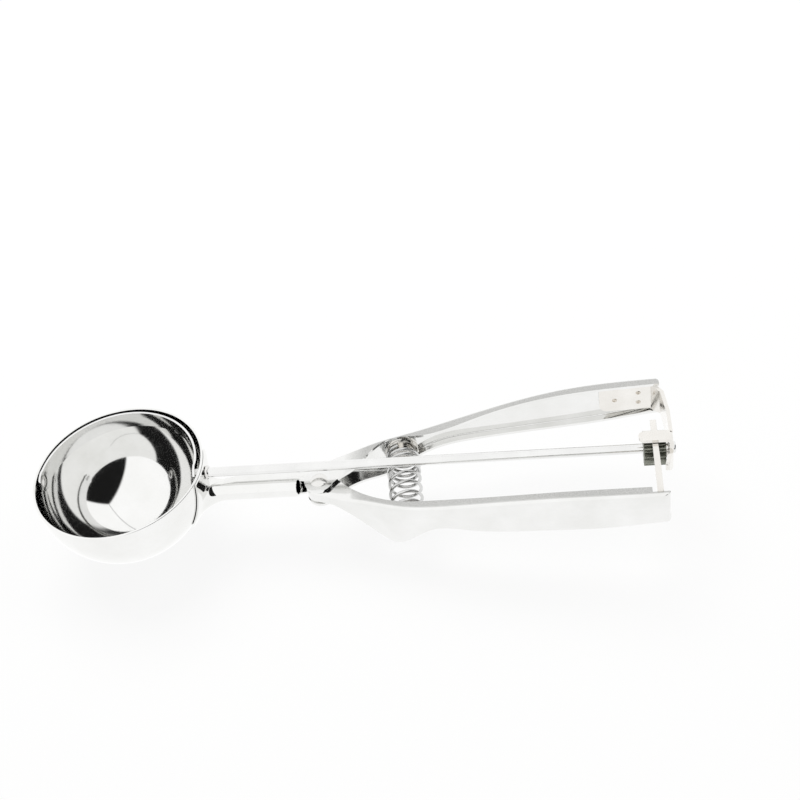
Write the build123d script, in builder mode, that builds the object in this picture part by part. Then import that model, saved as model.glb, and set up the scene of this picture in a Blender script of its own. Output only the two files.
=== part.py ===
from build123d import *
import math
import os

os.makedirs("parts", exist_ok=True)

# Lever ice cream scoop. Millimetres, +X from the bowl to the handle ends, +Z up out of the bowl,
# the fixed handle on the +Y side and the squeeze lever on the -Y side.
# Stations along X are measured from the back of the bowl, where the drive rod leaves it.
# Heights are measured from the drive rod's axis.

# ---- bowl and scraper ----
bowl_radius = 29.0        # outer radius of the hemisphere
bowl_wall = 0.8
rim_height = 3.5          # straight band between the rod's axis and the rim
rim_round = 0.2
scraper_gap_front = 0.3   # between the scraper and the bowl's inside, at the front pin
scraper_gap_back = 1.3    # the same at the rod
scraper_thickness = 0.7
scraper_width = 6.4
lug_radius = 3.4          # rounded ends of the scraper, round its two bearings
front_pin_radius = 1.4
front_head_radius = 2.2
front_head_height = 0.6
end_play = 0.12           # along the rod, between turning and standing faces

# ---- shank ----
neck_radius = 3.7
neck_wall = 0.8
neck_drop = 9.2           # neck axis below the rod's axis
neck_end = 30.3
flare_end = 5.5
flare_foot_radius = 8.6
flare_clearance = 0.06    # between the top of the flare's foot and the rod's collar
waist_radius = 4.9        # of the flare, half way
waist_station = 2.1
saddle_wall = 0.8
saddle_rim_gap = 0.5      # the saddle's upper edge lies so far under the rim
saddle_bottom = 20.6      # its lower edge, below the rod's axis
saddle_head_width = 16.0  # across the saddle at its top
saddle_width = 22.4       # across its widest place
saddle_widest = 13.0      # how far below the rod that is
saddle_corner_slope = 0.3

# ---- pivot ----
pivot_station = 38.4
pivot_offset = -2.0       # the rivet stands a little to the lever's side of the rod
pivot_radius = 1.6
pivot_head_radius = 2.85
pivot_head_height = 1.0
clench_radius = 2.42      # formed end of the rivet, on the washer
clench_height = 0.7
pivot_washer_radius = 3.0
pivot_washer_height = 0.6
ear_radius = 4.9
ear_height = 7.4          # over the two ears of the fixed handle
ear_gap = 0.2             # between the two handles' ears
ear_straight = 2.0        # level stretch of the upper ears behind the pivot's lobe
lever_ear_straight = 1.2  # the lever's lower ear stays level this much longer than the fixed one
fixed_ear_slope = 0.15    # how steeply the fixed handle's lower edge leaves its ear
lever_ear_slope = 0.35    # and the lever's
ear_edge_angle = 30.0     # of the fixed ears' lobe, where its round edge starts and ends

# ---- sheet metal of the two handles ----
sheet = 1.0
flange_depth = 3.3
shell_wall = 0.8          # half shell of the fixed handle that wraps the neck
seam_angle = 16.0         # of the shell's upper edge, from straight up towards the lever
seam_relief = 1.2         # length of the step from the seam to the ears
handle_end = 150.9
handle_corner = 2.6       # rounding of the flanges' ends
nose_angle = 14.0         # where the lever's web runs on into the nose round its ears
fixed_web_rise = 3.0      # the fixed handle's web opens out from the shell, so far behind the pivot
fixed_web_side = 7.5      # and there it is so far from the rod's plane
throat_reach = 11.0       # narrowest place of the fixed handle's flanges, behind the pivot
throat_side = 2.0
channel_lead = 8.0        # the channels' inner space starts so far before their webs

# Outer face of the channel handles in plan: distance behind the pivot, or before the handles'
# ends, and distance from the rod's plane.
web_front = [(17.1, 13.3), (33.1, 17.5), (53.1, 20.7)]
web_rear = [(29.4, 24.0), (handle_corner, 24.9)]

# Upper and lower edges of the channel handles from the side, with the humps that guard the spring.
upper_front = [(17.1, -4.2), (29.1, -3.7), (43.1, -1.5), (63.1, 2.6)]
upper_rear = [(29.4, 5.5), (0, 6.9)]
fixed_lower_front = [(17.1, -18.6), (23.1, -18.0), (30.1, -14.4), (39.1, -10.6), (51.1, -9.9)]
fixed_lower_rear = [(39.4, -10.2), (19.4, -9.2), (0, -6.6)]
lever_lower_front = [(17.1, -18.7), (24.1, -23.2), (30.1, -20.0), (37.1, -14.3), (49.1, -12.9)]
lever_lower_rear = [(39.4, -11.0), (19.4, -9.3), (0, -6.9)]

# ---- drive rod, pinion and rack ----
rod_radius = 1.6
running_fit = 0.06        # radial clearance of a turning shaft in its hole
seat_fit = 0.02           # radial clearance of pieces that turn together
rod_head_radius = 2.3
rod_head_height = 0.9
tail_head_radius = 1.95
tail_head_height = 1.0
collar_radius = 2.3
collar_width = 0.8
gear_module = 0.8
pinion_teeth = 12
pinion_width = 6.9
pinion_chamfer = 0.5
gear_backlash = 0.41      # a tooth is so much thinner than its space is wide, halved on each side
flank_slope = 0.34        # of the tooth flanks, sideways for each mm of height
addendum_modules = 0.875
dedendum_modules = 1.3125
lever_travel = 7.2        # degrees
rack_thickness = 1.9
rack_back = 1.8           # metal behind the rack's tooth roots
rack_reach = 5.1          # past the rod, on the fixed handle's side
rack_foot_width = 3.4
rack_foot_drop = 4.6      # below the rod's axis
rack_leg_length = 13.0
rack_seat_gap = 0.12      # between the rack's leg and the lever's web
rack_notch_gap = 0.4      # in the lever's upper flange, before the rack
washer_radius = 3.2
washer_thickness = 0.8

# ---- end bracket ----
bracket_sheet = 1.2
bracket_seat_gap = 0.05   # between the bracket's leg and the handle's web
bracket_behind = 1.6      # middle of the bracket's sheet, behind the handles' ends
bracket_fold_before = 2.4  # fold of its leg, before the handles' ends
bracket_leg_length = 17.0
bracket_leg_round = 2.5   # corners of the leg's front end
bracket_lean = 0.4        # of the leg's front end, in from its fold
bracket_bow = 1.0         # the arm bows out so far behind its fold
bracket_bow_depth = 4.5   # and reaches that bow so far in from the leg
bracket_straight_side = 9.0  # the arm is flat from here on towards the lever
bracket_bend = 1.5        # radius of the arm's bends, at the middle of the sheet
bracket_half_height = 5.5
bracket_crest_side = 18.0  # highest place of the arm's upper edge
bracket_crest = 0.7
bracket_taper_side = 21.5  # where the arm's lower edge starts to rise to the lobe
bracket_lobe_radius = 3.6
bracket_foot_bend = 1.6   # how far the bracket's end leans back towards the bowl
tab_gap = 0.25            # guide tab above the rack's back
tab_length = 10.0
tab_width = 4.0
tab_shift = -2.9          # middle of the guide tab, to the lever's side
tab_bend = 0.9            # inner radius of the guide tab's bend
tab_shoulder = 1.0        # the arm's upper edge meets the tab so far beside it
tab_shoulder_drop = 0.4   # and so far under its top

# ---- spring ----
coil_radius = 5.15        # to the middle of the wire
wire_radius = 0.56
spring_turns = 7.5
spring_drop = 11.5        # spring axis below the rod's axis
spring_reach_fixed = 26.0  # behind the pivot, where the spring meets the fixed handle's web
spring_reach_lever = 29.8  # and where it meets the lever's web
seat_standoff_fixed = 0.8
seat_standoff_lever = 2.8
seat_side_play = 0.35     # between a seat's post and the coil round it
seat_post = 2.4
seat_sink = 4.0           # a seat starts so far inside the web, and is trimmed to it
spring_play = 0.05

# ---- weld spots ----
spot_radius = 0.9
spot_height = 0.2
bracket_spot_front = 12.0  # before the bracket's fold
bracket_spot_rear = 4.3
bracket_spot_spread = 2.15
bracket_spot_drop = 0.6
rack_spot_front = 9.0     # before the rack's front face
rack_spot_rear = 4.0
rack_spot_spread = 2.0

# ---- worked out from the sizes above ----
overshoot = 2.0
clear_side = 60.0
half_right = math.sqrt(0.5)
bowl_inside = bowl_radius - bowl_wall
saddle_outer_radius = bowl_radius + saddle_wall
scraper_outer_radius = bowl_inside - (scraper_gap_front + scraper_gap_back) / 2
scraper_inner_radius = scraper_outer_radius - scraper_thickness
scraper_shift = (scraper_gap_front - scraper_gap_back) / 2
bowl_centre = -bowl_radius
bowl_front = -2 * bowl_radius
scraper_centre = bowl_centre + scraper_shift
shell_radius = neck_radius + shell_wall
ear_top = shell_radius - neck_drop
ear_bottom = ear_top - ear_height
lever_ear_top = ear_top - sheet - ear_gap
lever_ear_bottom = ear_bottom + sheet + ear_gap
washer_face = ear_bottom - pivot_washer_height
top_flat = pivot_station + ear_radius + ear_straight
fixed_bottom_flat = pivot_station + pivot_washer_radius + ear_gap
lever_bottom_flat = fixed_bottom_flat + lever_ear_straight
bracket_station = handle_end + bracket_behind
bracket_fold = handle_end - bracket_fold_before
bracket_start = bracket_fold - bracket_leg_length
bracket_inner = bracket_station - bracket_sheet / 2
bracket_outer = bracket_station + bracket_sheet / 2
tab_front = bracket_station - tab_length
tail_station = bracket_outer + end_play + tail_head_height
washer_front = bracket_inner - end_play - washer_thickness
pinion_front = washer_front - pinion_width
pitch_radius = gear_module * pinion_teeth / 2
tooth_pitch = math.pi * gear_module
tooth_thickness = tooth_pitch / 2 - gear_backlash
addendum = addendum_modules * gear_module
dedendum = dedendum_modules * gear_module
tip_radius = pitch_radius + addendum
root_radius = pitch_radius - dedendum
rack_station = pinion_front + pinion_width / 2
rack_front = rack_station - rack_thickness / 2
rack_travel = math.radians(lever_travel) * (rack_station - pivot_station)
rack_teeth = math.ceil(rack_travel / tooth_pitch) + 2
rack_tip = pitch_radius - addendum
rack_root = pitch_radius + dedendum
rack_top = rack_root + rack_back
tab_bottom = rack_top + tab_gap
tab_top = tab_bottom + bracket_sheet
tab_outer_bend = tab_bend + bracket_sheet
tab_high_side = tab_shift + tab_width / 2
tab_low_side = tab_shift - tab_width / 2
back_x = (2 * bowl_radius + front_head_height - tail_station) / 2
rod_z = bowl_radius


def from_pivot_and_end(front, rear):
    # stations and values of an outline that is given from the pivot and from the handles' ends
    return [(pivot_station + s, v) for s, v in front] + [(handle_end - s, v) for s, v in rear]


handle_path = from_pivot_and_end(web_front, web_rear)
handle_side = handle_path[-1][1]
upper_edge = from_pivot_and_end(upper_front, upper_rear)
fixed_lower_edge = from_pivot_and_end(fixed_lower_front, fixed_lower_rear)
lever_lower_edge = from_pivot_and_end(lever_lower_front, lever_lower_rear)


def plan(station, y):
    return (back_x + station, y)


def side(station, height):
    return (back_x + station, rod_z + height)


def point(station, y, height):
    return (back_x + station, y, rod_z + height)


def across(station):
    # square to the rod, with x along +Y and y along +Z, centred on the rod's axis
    return Plane(origin=point(station, 0, 0), x_dir=(0, 1, 0), z_dir=(1, 0, 0))


def level(height):
    # parallel to the bowl's rim
    return Plane.XY.offset(rod_z + height)


def side_profile(start, top, bottom, bottom_flat, ear_slope, lower_edge, inset, end):
    # face on the XZ plane between a handle's upper and lower edges, moved inwards by the inset
    upper = [side(s, h - inset) for s, h in upper_edge[:-1]] + [side(end, upper_edge[-1][1] - inset)]
    lower = [side(s, h + inset) for s, h in lower_edge[:-1]] + [side(end, lower_edge[-1][1] + inset)]
    ear_end_top = side(top_flat, top - inset)
    ear_end_low = side(bottom_flat, bottom + inset)
    with BuildSketch(Plane.XZ) as profile:
        with BuildLine():
            Line(side(start, top - inset), ear_end_top)
            Spline(ear_end_top, *upper, tangents=[(1, 0), (1, 0.04)])
            Line(upper[-1], lower[-1])
            Spline(*lower[::-1], ear_end_low, tangents=[(-1, -0.1), (-1, ear_slope)])
            Polyline(ear_end_low, side(start, bottom + inset), side(start, top - inset))
        make_face()
    return profile.sketch


def web_line(front, sign, shift):
    # the plan path of a handle's web, moved inwards by the shift
    return [plan(s, sign * (d - shift)) for s, d in front + handle_path]


def web_side(station):
    # distance of the webs' outer face from the rod's plane, between the path's first two points
    (near, near_side), (far, far_side) = handle_path[:2]
    return near_side + (station - near) * (far_side - near_side) / (far - near)


def half_bowl(outside, inside, top):
    # half section of a cup with a straight band up to its top
    with BuildSketch(Plane.XZ) as section:
        with BuildLine():
            ThreePointArc(side(bowl_centre, -outside),
                          side(bowl_centre + outside * half_right, -outside * half_right),
                          side(bowl_centre + outside, 0))
            Polyline(side(bowl_centre + outside, 0), side(bowl_centre + outside, top),
                     side(bowl_centre + inside, top), side(bowl_centre + inside, 0))
            ThreePointArc(side(bowl_centre + inside, 0),
                          side(bowl_centre + inside * half_right, -inside * half_right),
                          side(bowl_centre, -inside))
            Line(side(bowl_centre, -inside), side(bowl_centre, -outside))
        make_face()
    return section.sketch


# ---- bowl ----
bowl_section = half_bowl(bowl_radius, bowl_inside, rim_height)
bowl_axis = Axis(point(bowl_centre, 0, 0), (0, 0, 1))
with BuildPart() as bowl:
    revolve(bowl_section, axis=bowl_axis)
    fillet(bowl.edges().group_by(Axis.Z)[-1], radius=rim_round)
    with BuildSketch(across(bowl_front - overshoot)):
        Circle(front_pin_radius)
    extrude(amount=2 * overshoot + bowl_wall, mode=Mode.SUBTRACT)
    with BuildSketch(across(-overshoot - bowl_wall)):
        Circle(rod_radius + running_fit)
    extrude(amount=2 * overshoot + bowl_wall, mode=Mode.SUBTRACT)
bowl.part.label = "bowl"
export_step(bowl.part, "parts/bowl.step")

# ---- shank: neck tube, flared out to a saddle that hugs the bowl ----
foot_sphere = bowl_radius + saddle_wall / 2
foot_half_angle = math.asin(flare_foot_radius / foot_sphere)
foot_tilt = foot_half_angle + math.asin((collar_radius + flare_clearance) / foot_sphere)


def neck_plane(station, height, lean):
    # square to a line that leans down by an angle, away from the bowl
    return Plane(origin=point(station, 0, height), x_dir=(0, 1, 0),
                 z_dir=(math.cos(lean), 0, -math.sin(lean)))


def flare(wall):
    # trumpet from the saddle to the neck tube, thinned by the wall
    foot_distance = foot_sphere * math.cos(foot_half_angle)
    foot_station = bowl_centre + foot_distance * math.cos(foot_tilt)
    with BuildPart() as trumpet:
        with BuildSketch(neck_plane(foot_station, -foot_distance * math.sin(foot_tilt), foot_tilt)):
            Circle(flare_foot_radius - wall)
        with BuildSketch(neck_plane(waist_station, -neck_drop, foot_tilt / 2)):
            Circle(waist_radius - wall)
        with BuildSketch(neck_plane(flare_end, -neck_drop, 0)):
            Circle(neck_radius - wall)
        loft()
    return trumpet.part


flare_outside = flare(0)
flare_inside = flare(neck_wall)
with BuildPart() as flare_wall:
    add(flare_outside)
    add(flare_inside, mode=Mode.SUBTRACT)

saddle_top = rim_height - saddle_rim_gap
saddle_section = half_bowl(saddle_outer_radius, bowl_radius, saddle_top)
with BuildPart() as shank:
    revolve(saddle_section, axis=bowl_axis)
    with BuildSketch(across(bowl_centre)):
        with BuildLine():
            head = saddle_head_width / 2
            half = saddle_width / 2
            Line((0, saddle_top), (head, saddle_top))
            Spline((head, saddle_top), (half, -saddle_widest), (0, -saddle_bottom),
                   tangents=[(saddle_corner_slope, -1), (-1, 0)])
            mirror(about=Plane.YZ)
        make_face()
    extrude(amount=saddle_outer_radius + overshoot, mode=Mode.INTERSECT)
    add(flare_wall.part)
    with BuildSketch(neck_plane(flare_end, -neck_drop, 0)):
        Circle(neck_radius)
        Circle(neck_radius - neck_wall, mode=Mode.SUBTRACT)
    extrude(amount=neck_end - flare_end)
    with BuildSketch(across(-overshoot)):
        Circle(rod_radius + running_fit)
    extrude(amount=flare_end + overshoot, mode=Mode.SUBTRACT)
shank.part.label = "shank"
export_step(shank.part, "parts/shank.step")

# ---- the spaces inside the two channel handles ----
nose_turn = math.radians(nose_angle)
nose_start = pivot_station - ear_radius * math.sin(nose_turn)
nose_side = ear_radius * math.cos(nose_turn) - pivot_offset
nose_inside = ear_radius - sheet
fixed_front = [(neck_end, shell_radius), (pivot_station + fixed_web_rise, fixed_web_side)]
lever_front = [(nose_start, nose_side)]
fixed_web_slope = (1, 0.05)
lever_web_slope = (math.cos(nose_turn), -math.sin(nose_turn))


def channel_room(front, sign, slope, profile, nose):
    # everything a handle's web and flanges stand round, open towards the rod
    line = web_line(front, sign, sheet)
    start = front[0][0] - channel_lead
    end = handle_end + overshoot
    open_side = -sign * clear_side / 4
    with BuildPart() as room:
        with BuildSketch(Plane.XY):
            with BuildLine():
                Spline(*line, tangents=[slope, (1, 0)])
                tail = line[-1]
                Polyline(tail, plan(end, tail[1]), plan(end, open_side), plan(start, open_side))
                if nose:
                    nose_front = plan(pivot_station - nose_inside, pivot_offset)
                    Polyline(plan(start, open_side), plan(start, pivot_offset), nose_front)
                    ThreePointArc(nose_front, plan(pivot_station - nose_inside * half_right,
                                                   pivot_offset - nose_inside * half_right), line[0])
                else:
                    Polyline(plan(start, open_side), plan(start, line[0][1]), line[0])
            make_face()
        extrude(amount=rod_z + clear_side)
        extrude(profile, amount=clear_side, both=True, mode=Mode.INTERSECT)
    return room.part


room_end = handle_end + overshoot
fixed_inside = side_profile(neck_end - channel_lead, ear_top, ear_bottom, fixed_bottom_flat,
                            fixed_ear_slope, fixed_lower_edge, sheet, room_end)
lever_inside = side_profile(nose_start - channel_lead, lever_ear_top, lever_ear_bottom,
                            lever_bottom_flat, lever_ear_slope, lever_lower_edge, sheet, room_end)
fixed_room = channel_room(fixed_front, 1, fixed_web_slope, fixed_inside, False)
lever_room = channel_room(lever_front, -1, lever_web_slope, lever_inside, True)
fixed_profile = side_profile(neck_end, ear_top, ear_bottom, fixed_bottom_flat, fixed_ear_slope,
                             fixed_lower_edge, 0, handle_end)
lever_profile = side_profile(pivot_station - ear_radius - overshoot, lever_ear_top, lever_ear_bottom,
                             lever_bottom_flat, lever_ear_slope, lever_lower_edge, 0, handle_end)

# ---- fixed handle: channel, pivot ears and the half shell round the neck ----
ear_angle = math.radians(ear_edge_angle)
ear_tip = pivot_station + ear_radius * math.cos(ear_angle)
ear_side = pivot_offset - ear_radius * math.sin(ear_angle)
ear_back = pivot_station - ear_radius * math.cos(ear_angle)
seam = math.radians(seam_angle)
seam_side = -shell_radius * math.sin(seam)
with BuildPart() as fixed_handle:
    with BuildSketch(Plane.XY):
        with BuildLine():
            web = web_line(fixed_front, 1, 0)
            lip = [plan(s, d - flange_depth) for s, d in handle_path]
            corner_end = plan(handle_end, handle_side - handle_corner)
            Spline(*web, tangents=[fixed_web_slope, (1, 0)])
            TangentArc(web[-1], corner_end, tangent=(1, 0))
            Polyline(corner_end, plan(handle_end, handle_side - flange_depth), lip[-1])
            Spline(*lip[::-1], plan(pivot_station + throat_reach, throat_side), plan(ear_tip, ear_side),
                   tangents=[(-1, -0.02), (-math.sin(ear_angle), -math.cos(ear_angle))])
            ThreePointArc(plan(ear_tip, ear_side), plan(pivot_station, pivot_offset - ear_radius),
                          plan(ear_back, ear_side))
            Polyline(plan(ear_back, ear_side), plan(ear_back - seam_relief, seam_side),
                     plan(neck_end, seam_side), web[0])
        make_face()
    extrude(amount=rod_z + clear_side)
    extrude(fixed_profile, amount=clear_side, both=True, mode=Mode.INTERSECT)
    add(fixed_room, mode=Mode.SUBTRACT)
    with BuildSketch(across(flare_end)):
        with Locations((0, -neck_drop)):
            Circle(shell_radius)
            Circle(neck_radius, mode=Mode.SUBTRACT)
        with BuildLine():
            Polyline((0, -neck_drop),
                     (-clear_side * math.sin(seam), -neck_drop + clear_side * math.cos(seam)),
                     (-clear_side, -neck_drop + clear_side), (-clear_side, -neck_drop - clear_side),
                     (0, -neck_drop - clear_side), (0, -neck_drop))
        make_face(mode=Mode.SUBTRACT)
    extrude(amount=neck_end - flare_end + sheet)
    with BuildSketch(level(ear_bottom - overshoot)):
        with Locations(plan(pivot_station, pivot_offset)):
            Circle(pivot_radius)
    extrude(amount=clear_side, mode=Mode.SUBTRACT)
fixed_handle.part.label = "fixed_handle"
export_step(fixed_handle.part, "parts/fixed_handle.step")

# ---- lever handle: channel with its own ears between the fixed ones, closed by a round nose ----
ear_corner = ear_radius * half_right
with BuildPart() as lever_handle:
    with BuildSketch(Plane.XY):
        with BuildLine():
            web = web_line(lever_front, -1, 0)
            lip = [plan(s, flange_depth - d) for s, d in handle_path]
            ear_end = plan(pivot_station + ear_corner, pivot_offset + ear_corner)
            corner_end = plan(handle_end, handle_corner - handle_side)
            Spline(*web, tangents=[lever_web_slope, (1, 0)])
            TangentArc(web[-1], corner_end, tangent=(1, 0))
            Polyline(corner_end, plan(handle_end, flange_depth - handle_side), lip[-1])
            Spline(*lip[::-1], ear_end, tangents=[(-1, 0.02), (-1, 1)])
            ThreePointArc(ear_end, plan(pivot_station - ear_corner, pivot_offset + ear_corner), web[0])
        make_face()
    extrude(amount=rod_z + clear_side)
    extrude(lever_profile, amount=clear_side, both=True, mode=Mode.INTERSECT)
    add(lever_room, mode=Mode.SUBTRACT)
    with BuildSketch(level(ear_bottom - overshoot)):
        with Locations(plan(pivot_station, pivot_offset)):
            Circle(pivot_radius + running_fit)
    extrude(amount=clear_side, mode=Mode.SUBTRACT)
    with BuildSketch(level(0)):
        notch_length = handle_end - rack_front + rack_notch_gap
        with Locations(plan(handle_end - notch_length / 2, sheet + flange_depth / 2 - handle_side)):
            Rectangle(notch_length + overshoot, flange_depth)
    extrude(amount=clear_side, mode=Mode.SUBTRACT)
lever_handle.part.label = "lever_handle"
export_step(lever_handle.part, "parts/lever_handle.step")

# ---- pivot rivet and the washer under its clenched end ----
with BuildPart() as pivot_rivet:
    with BuildSketch(Plane.XZ.offset(-pivot_offset)):
        with BuildLine():
            head_top = side(pivot_station, ear_top + pivot_head_height)
            head_edge = side(pivot_station + pivot_head_radius, ear_top)
            clench_edge = side(pivot_station + clench_radius, washer_face)
            clench_end = side(pivot_station, washer_face - clench_height)
            TangentArc(head_top, head_edge, tangent=(1, 0))
            Polyline(head_edge, side(pivot_station + pivot_radius, ear_top),
                     side(pivot_station + pivot_radius, washer_face), clench_edge)
            TangentArc(clench_end, clench_edge, tangent=(1, 0))
            Line(clench_end, head_top)
        make_face()
    revolve(axis=Axis(point(pivot_station, pivot_offset, 0), (0, 0, 1)))
pivot_rivet.part.label = "pivot_rivet"
export_step(pivot_rivet.part, "parts/pivot_rivet.step")

with BuildPart() as pivot_washer:
    with BuildSketch(level(washer_face)):
        with Locations(plan(pivot_station, pivot_offset)):
            Circle(pivot_washer_radius)
            Circle(pivot_radius + seat_fit, mode=Mode.SUBTRACT)
    extrude(amount=pivot_washer_height)
pivot_washer.part.label = "pivot_washer"
export_step(pivot_washer.part, "parts/pivot_washer.step")

# ---- front pin, headed on both sides of the bowl's wall and the scraper's end ----
pin_inner_face = scraper_centre - scraper_inner_radius + end_play
with BuildPart() as front_pin:
    with BuildSketch(across(bowl_front - front_head_height)):
        Circle(front_head_radius)
    extrude(amount=front_head_height)
    with BuildSketch(across(bowl_front)):
        Circle(front_pin_radius)
    extrude(amount=pin_inner_face - bowl_front)
    with BuildSketch(across(pin_inner_face)):
        Circle(front_head_radius)
    extrude(amount=front_head_height)
front_pin.part.label = "front_pin"
export_step(front_pin.part, "parts/front_pin.step")

# ---- scraper: sprung strip along the bowl's inside, rounded round a bearing at each end ----
with BuildPart() as scraper_blade:
    with BuildSketch(across(bowl_front)):
        Circle(lug_radius)
        with Locations((bowl_radius / 2, 0)):
            Rectangle(bowl_radius, scraper_width)
    extrude(amount=2 * bowl_radius)
    with Locations(point(scraper_centre, 0, 0)):
        Sphere(scraper_outer_radius, mode=Mode.INTERSECT)
        Sphere(scraper_inner_radius, mode=Mode.SUBTRACT)
    with BuildSketch(across(bowl_front)):
        Circle(front_pin_radius + running_fit)
    extrude(amount=bowl_radius, mode=Mode.SUBTRACT)
    with BuildSketch(across(bowl_centre)):
        Circle(rod_radius + seat_fit)
    extrude(amount=bowl_radius, mode=Mode.SUBTRACT)
scraper_blade.part.label = "scraper_blade"
export_step(scraper_blade.part, "parts/scraper_blade.step")

# ---- drive rod, headed inside the scraper's end and behind the bracket ----
rod_front = scraper_centre + scraper_inner_radius - rod_head_height
with BuildPart() as drive_rod:
    with BuildSketch(across(rod_front)):
        Circle(rod_radius)
    extrude(amount=tail_station - rod_front)
    with BuildSketch(across(rod_front)):
        Circle(rod_head_radius)
    extrude(amount=rod_head_height - end_play)
    with BuildSketch(across(tail_station - tail_head_height)):
        Circle(tail_head_radius)
    extrude(amount=tail_head_height)
    fillet(drive_rod.edges().filter_by(GeomType.CIRCLE).group_by(Axis.X)[-1], radius=tail_head_height / 2)
drive_rod.part.label = "drive_rod"
export_step(drive_rod.part, "parts/drive_rod.step")

with BuildPart() as rod_collar:
    with BuildSketch(across(saddle_wall + end_play)):
        Circle(collar_radius)
        Circle(rod_radius + seat_fit, mode=Mode.SUBTRACT)
    extrude(amount=collar_width)
rod_collar.part.label = "rod_collar"
export_step(rod_collar.part, "parts/rod_collar.step")

with BuildPart() as rear_washer:
    with BuildSketch(across(washer_front)):
        Circle(washer_radius)
        Circle(rod_radius + seat_fit, mode=Mode.SUBTRACT)
    extrude(amount=washer_thickness)
rear_washer.part.label = "rear_washer"
export_step(rear_washer.part, "parts/rear_washer.step")


# ---- pinion ----
def tooth_width(height):
    # width of a tooth so far above the pitch line, towards its tip
    return tooth_thickness - 2 * flank_slope * height


root_half = tooth_width(-dedendum) / 2
tip_half = tooth_width(addendum) / 2
inside = root_radius - gear_module / 2
with BuildPart() as pinion:
    with BuildSketch(across(pinion_front)):
        Circle(root_radius)
        with PolarLocations(0, pinion_teeth, start_angle=180 / pinion_teeth):
            Polygon((inside, -root_half), (root_radius, -root_half), (tip_radius, -tip_half),
                    (tip_radius, tip_half), (root_radius, root_half), (inside, root_half), align=None)
        Circle(rod_radius + seat_fit, mode=Mode.SUBTRACT)
    extrude(amount=pinion_width)
    with BuildSketch(Plane.XZ):
        with BuildLine():
            back = pinion_front + pinion_width
            Polyline(side(pinion_front, 0), side(pinion_front, tip_radius - pinion_chamfer),
                     side(pinion_front + pinion_chamfer, tip_radius),
                     side(back - pinion_chamfer, tip_radius),
                     side(back, tip_radius - pinion_chamfer), side(back, 0), side(pinion_front, 0))
        make_face()
    revolve(axis=Axis(point(0, 0, 0), (1, 0, 0)), mode=Mode.INTERSECT)
pinion.part.label = "pinion"
export_step(pinion.part, "parts/pinion.step")

# ---- rack: toothed arm over the pinion, its foot bent forward inside the lever ----
foot_outer = sheet + rack_seat_gap - handle_side
foot_inner = foot_outer + rack_foot_width
with BuildPart() as gear_rack:
    with BuildSketch(across(rack_front)):
        with BuildLine():
            Polyline((rack_reach, rack_root), (rack_reach, rack_top), (foot_outer, rack_top),
                     (foot_outer, -rack_foot_drop), (foot_inner, -rack_foot_drop),
                     (foot_inner, rack_root), (rack_reach, rack_root))
        make_face()
        for number in range(rack_teeth):
            with Locations(((1 - number) * tooth_pitch, 0)):
                Polygon((-root_half, rack_root), (-tip_half, rack_tip), (tip_half, rack_tip),
                        (root_half, rack_root), align=None)
    extrude(amount=rack_thickness)
    with BuildSketch(across(rack_front - rack_leg_length)):
        with Locations((foot_outer + rack_thickness / 2, 0)):
            Rectangle(rack_thickness, 2 * rack_foot_drop)
    extrude(amount=rack_leg_length)
    add(lever_handle.part, mode=Mode.SUBTRACT)
gear_rack.part.label = "gear_rack"
export_step(gear_rack.part, "parts/gear_rack.step")

# ---- bracket: leg welded in the fixed handle, bent across to the rod, with the guide tab ----
leg_side = handle_side - sheet - bracket_sheet / 2 - bracket_seat_gap
lobe = bracket_lobe_radius
with BuildPart() as guide_tab:
    with BuildSketch(Plane.XZ.offset(-tab_high_side)):
        with BuildLine():
            bend_top = side(bracket_outer - tab_outer_bend, tab_top)
            bend_back = side(bracket_outer, tab_top - tab_outer_bend)
            bend_inside = side(bracket_inner, tab_bottom - tab_bend)
            bend_low = side(bracket_inner - tab_bend, tab_bottom)
            Polyline(side(tab_front, tab_bottom), side(tab_front, tab_top), bend_top)
            TangentArc(bend_top, bend_back, tangent=(1, 0))
            Polyline(bend_back, side(bracket_outer, lobe), side(bracket_inner, lobe), bend_inside)
            TangentArc(bend_inside, bend_low, tangent=(0, 1))
            Line(bend_low, side(tab_front, tab_bottom))
        make_face()
    extrude(amount=tab_width)
    with BuildSketch(level(0)):
        with BuildLine():
            nose = tab_front + tab_width / 2
            Polyline(plan(nose, tab_high_side), plan(bracket_outer, tab_high_side),
                     plan(bracket_outer, tab_low_side), plan(nose, tab_low_side))
            ThreePointArc(plan(nose, tab_low_side), plan(tab_front, tab_shift), plan(nose, tab_high_side))
        make_face()
    extrude(amount=clear_side, mode=Mode.INTERSECT)

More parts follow.
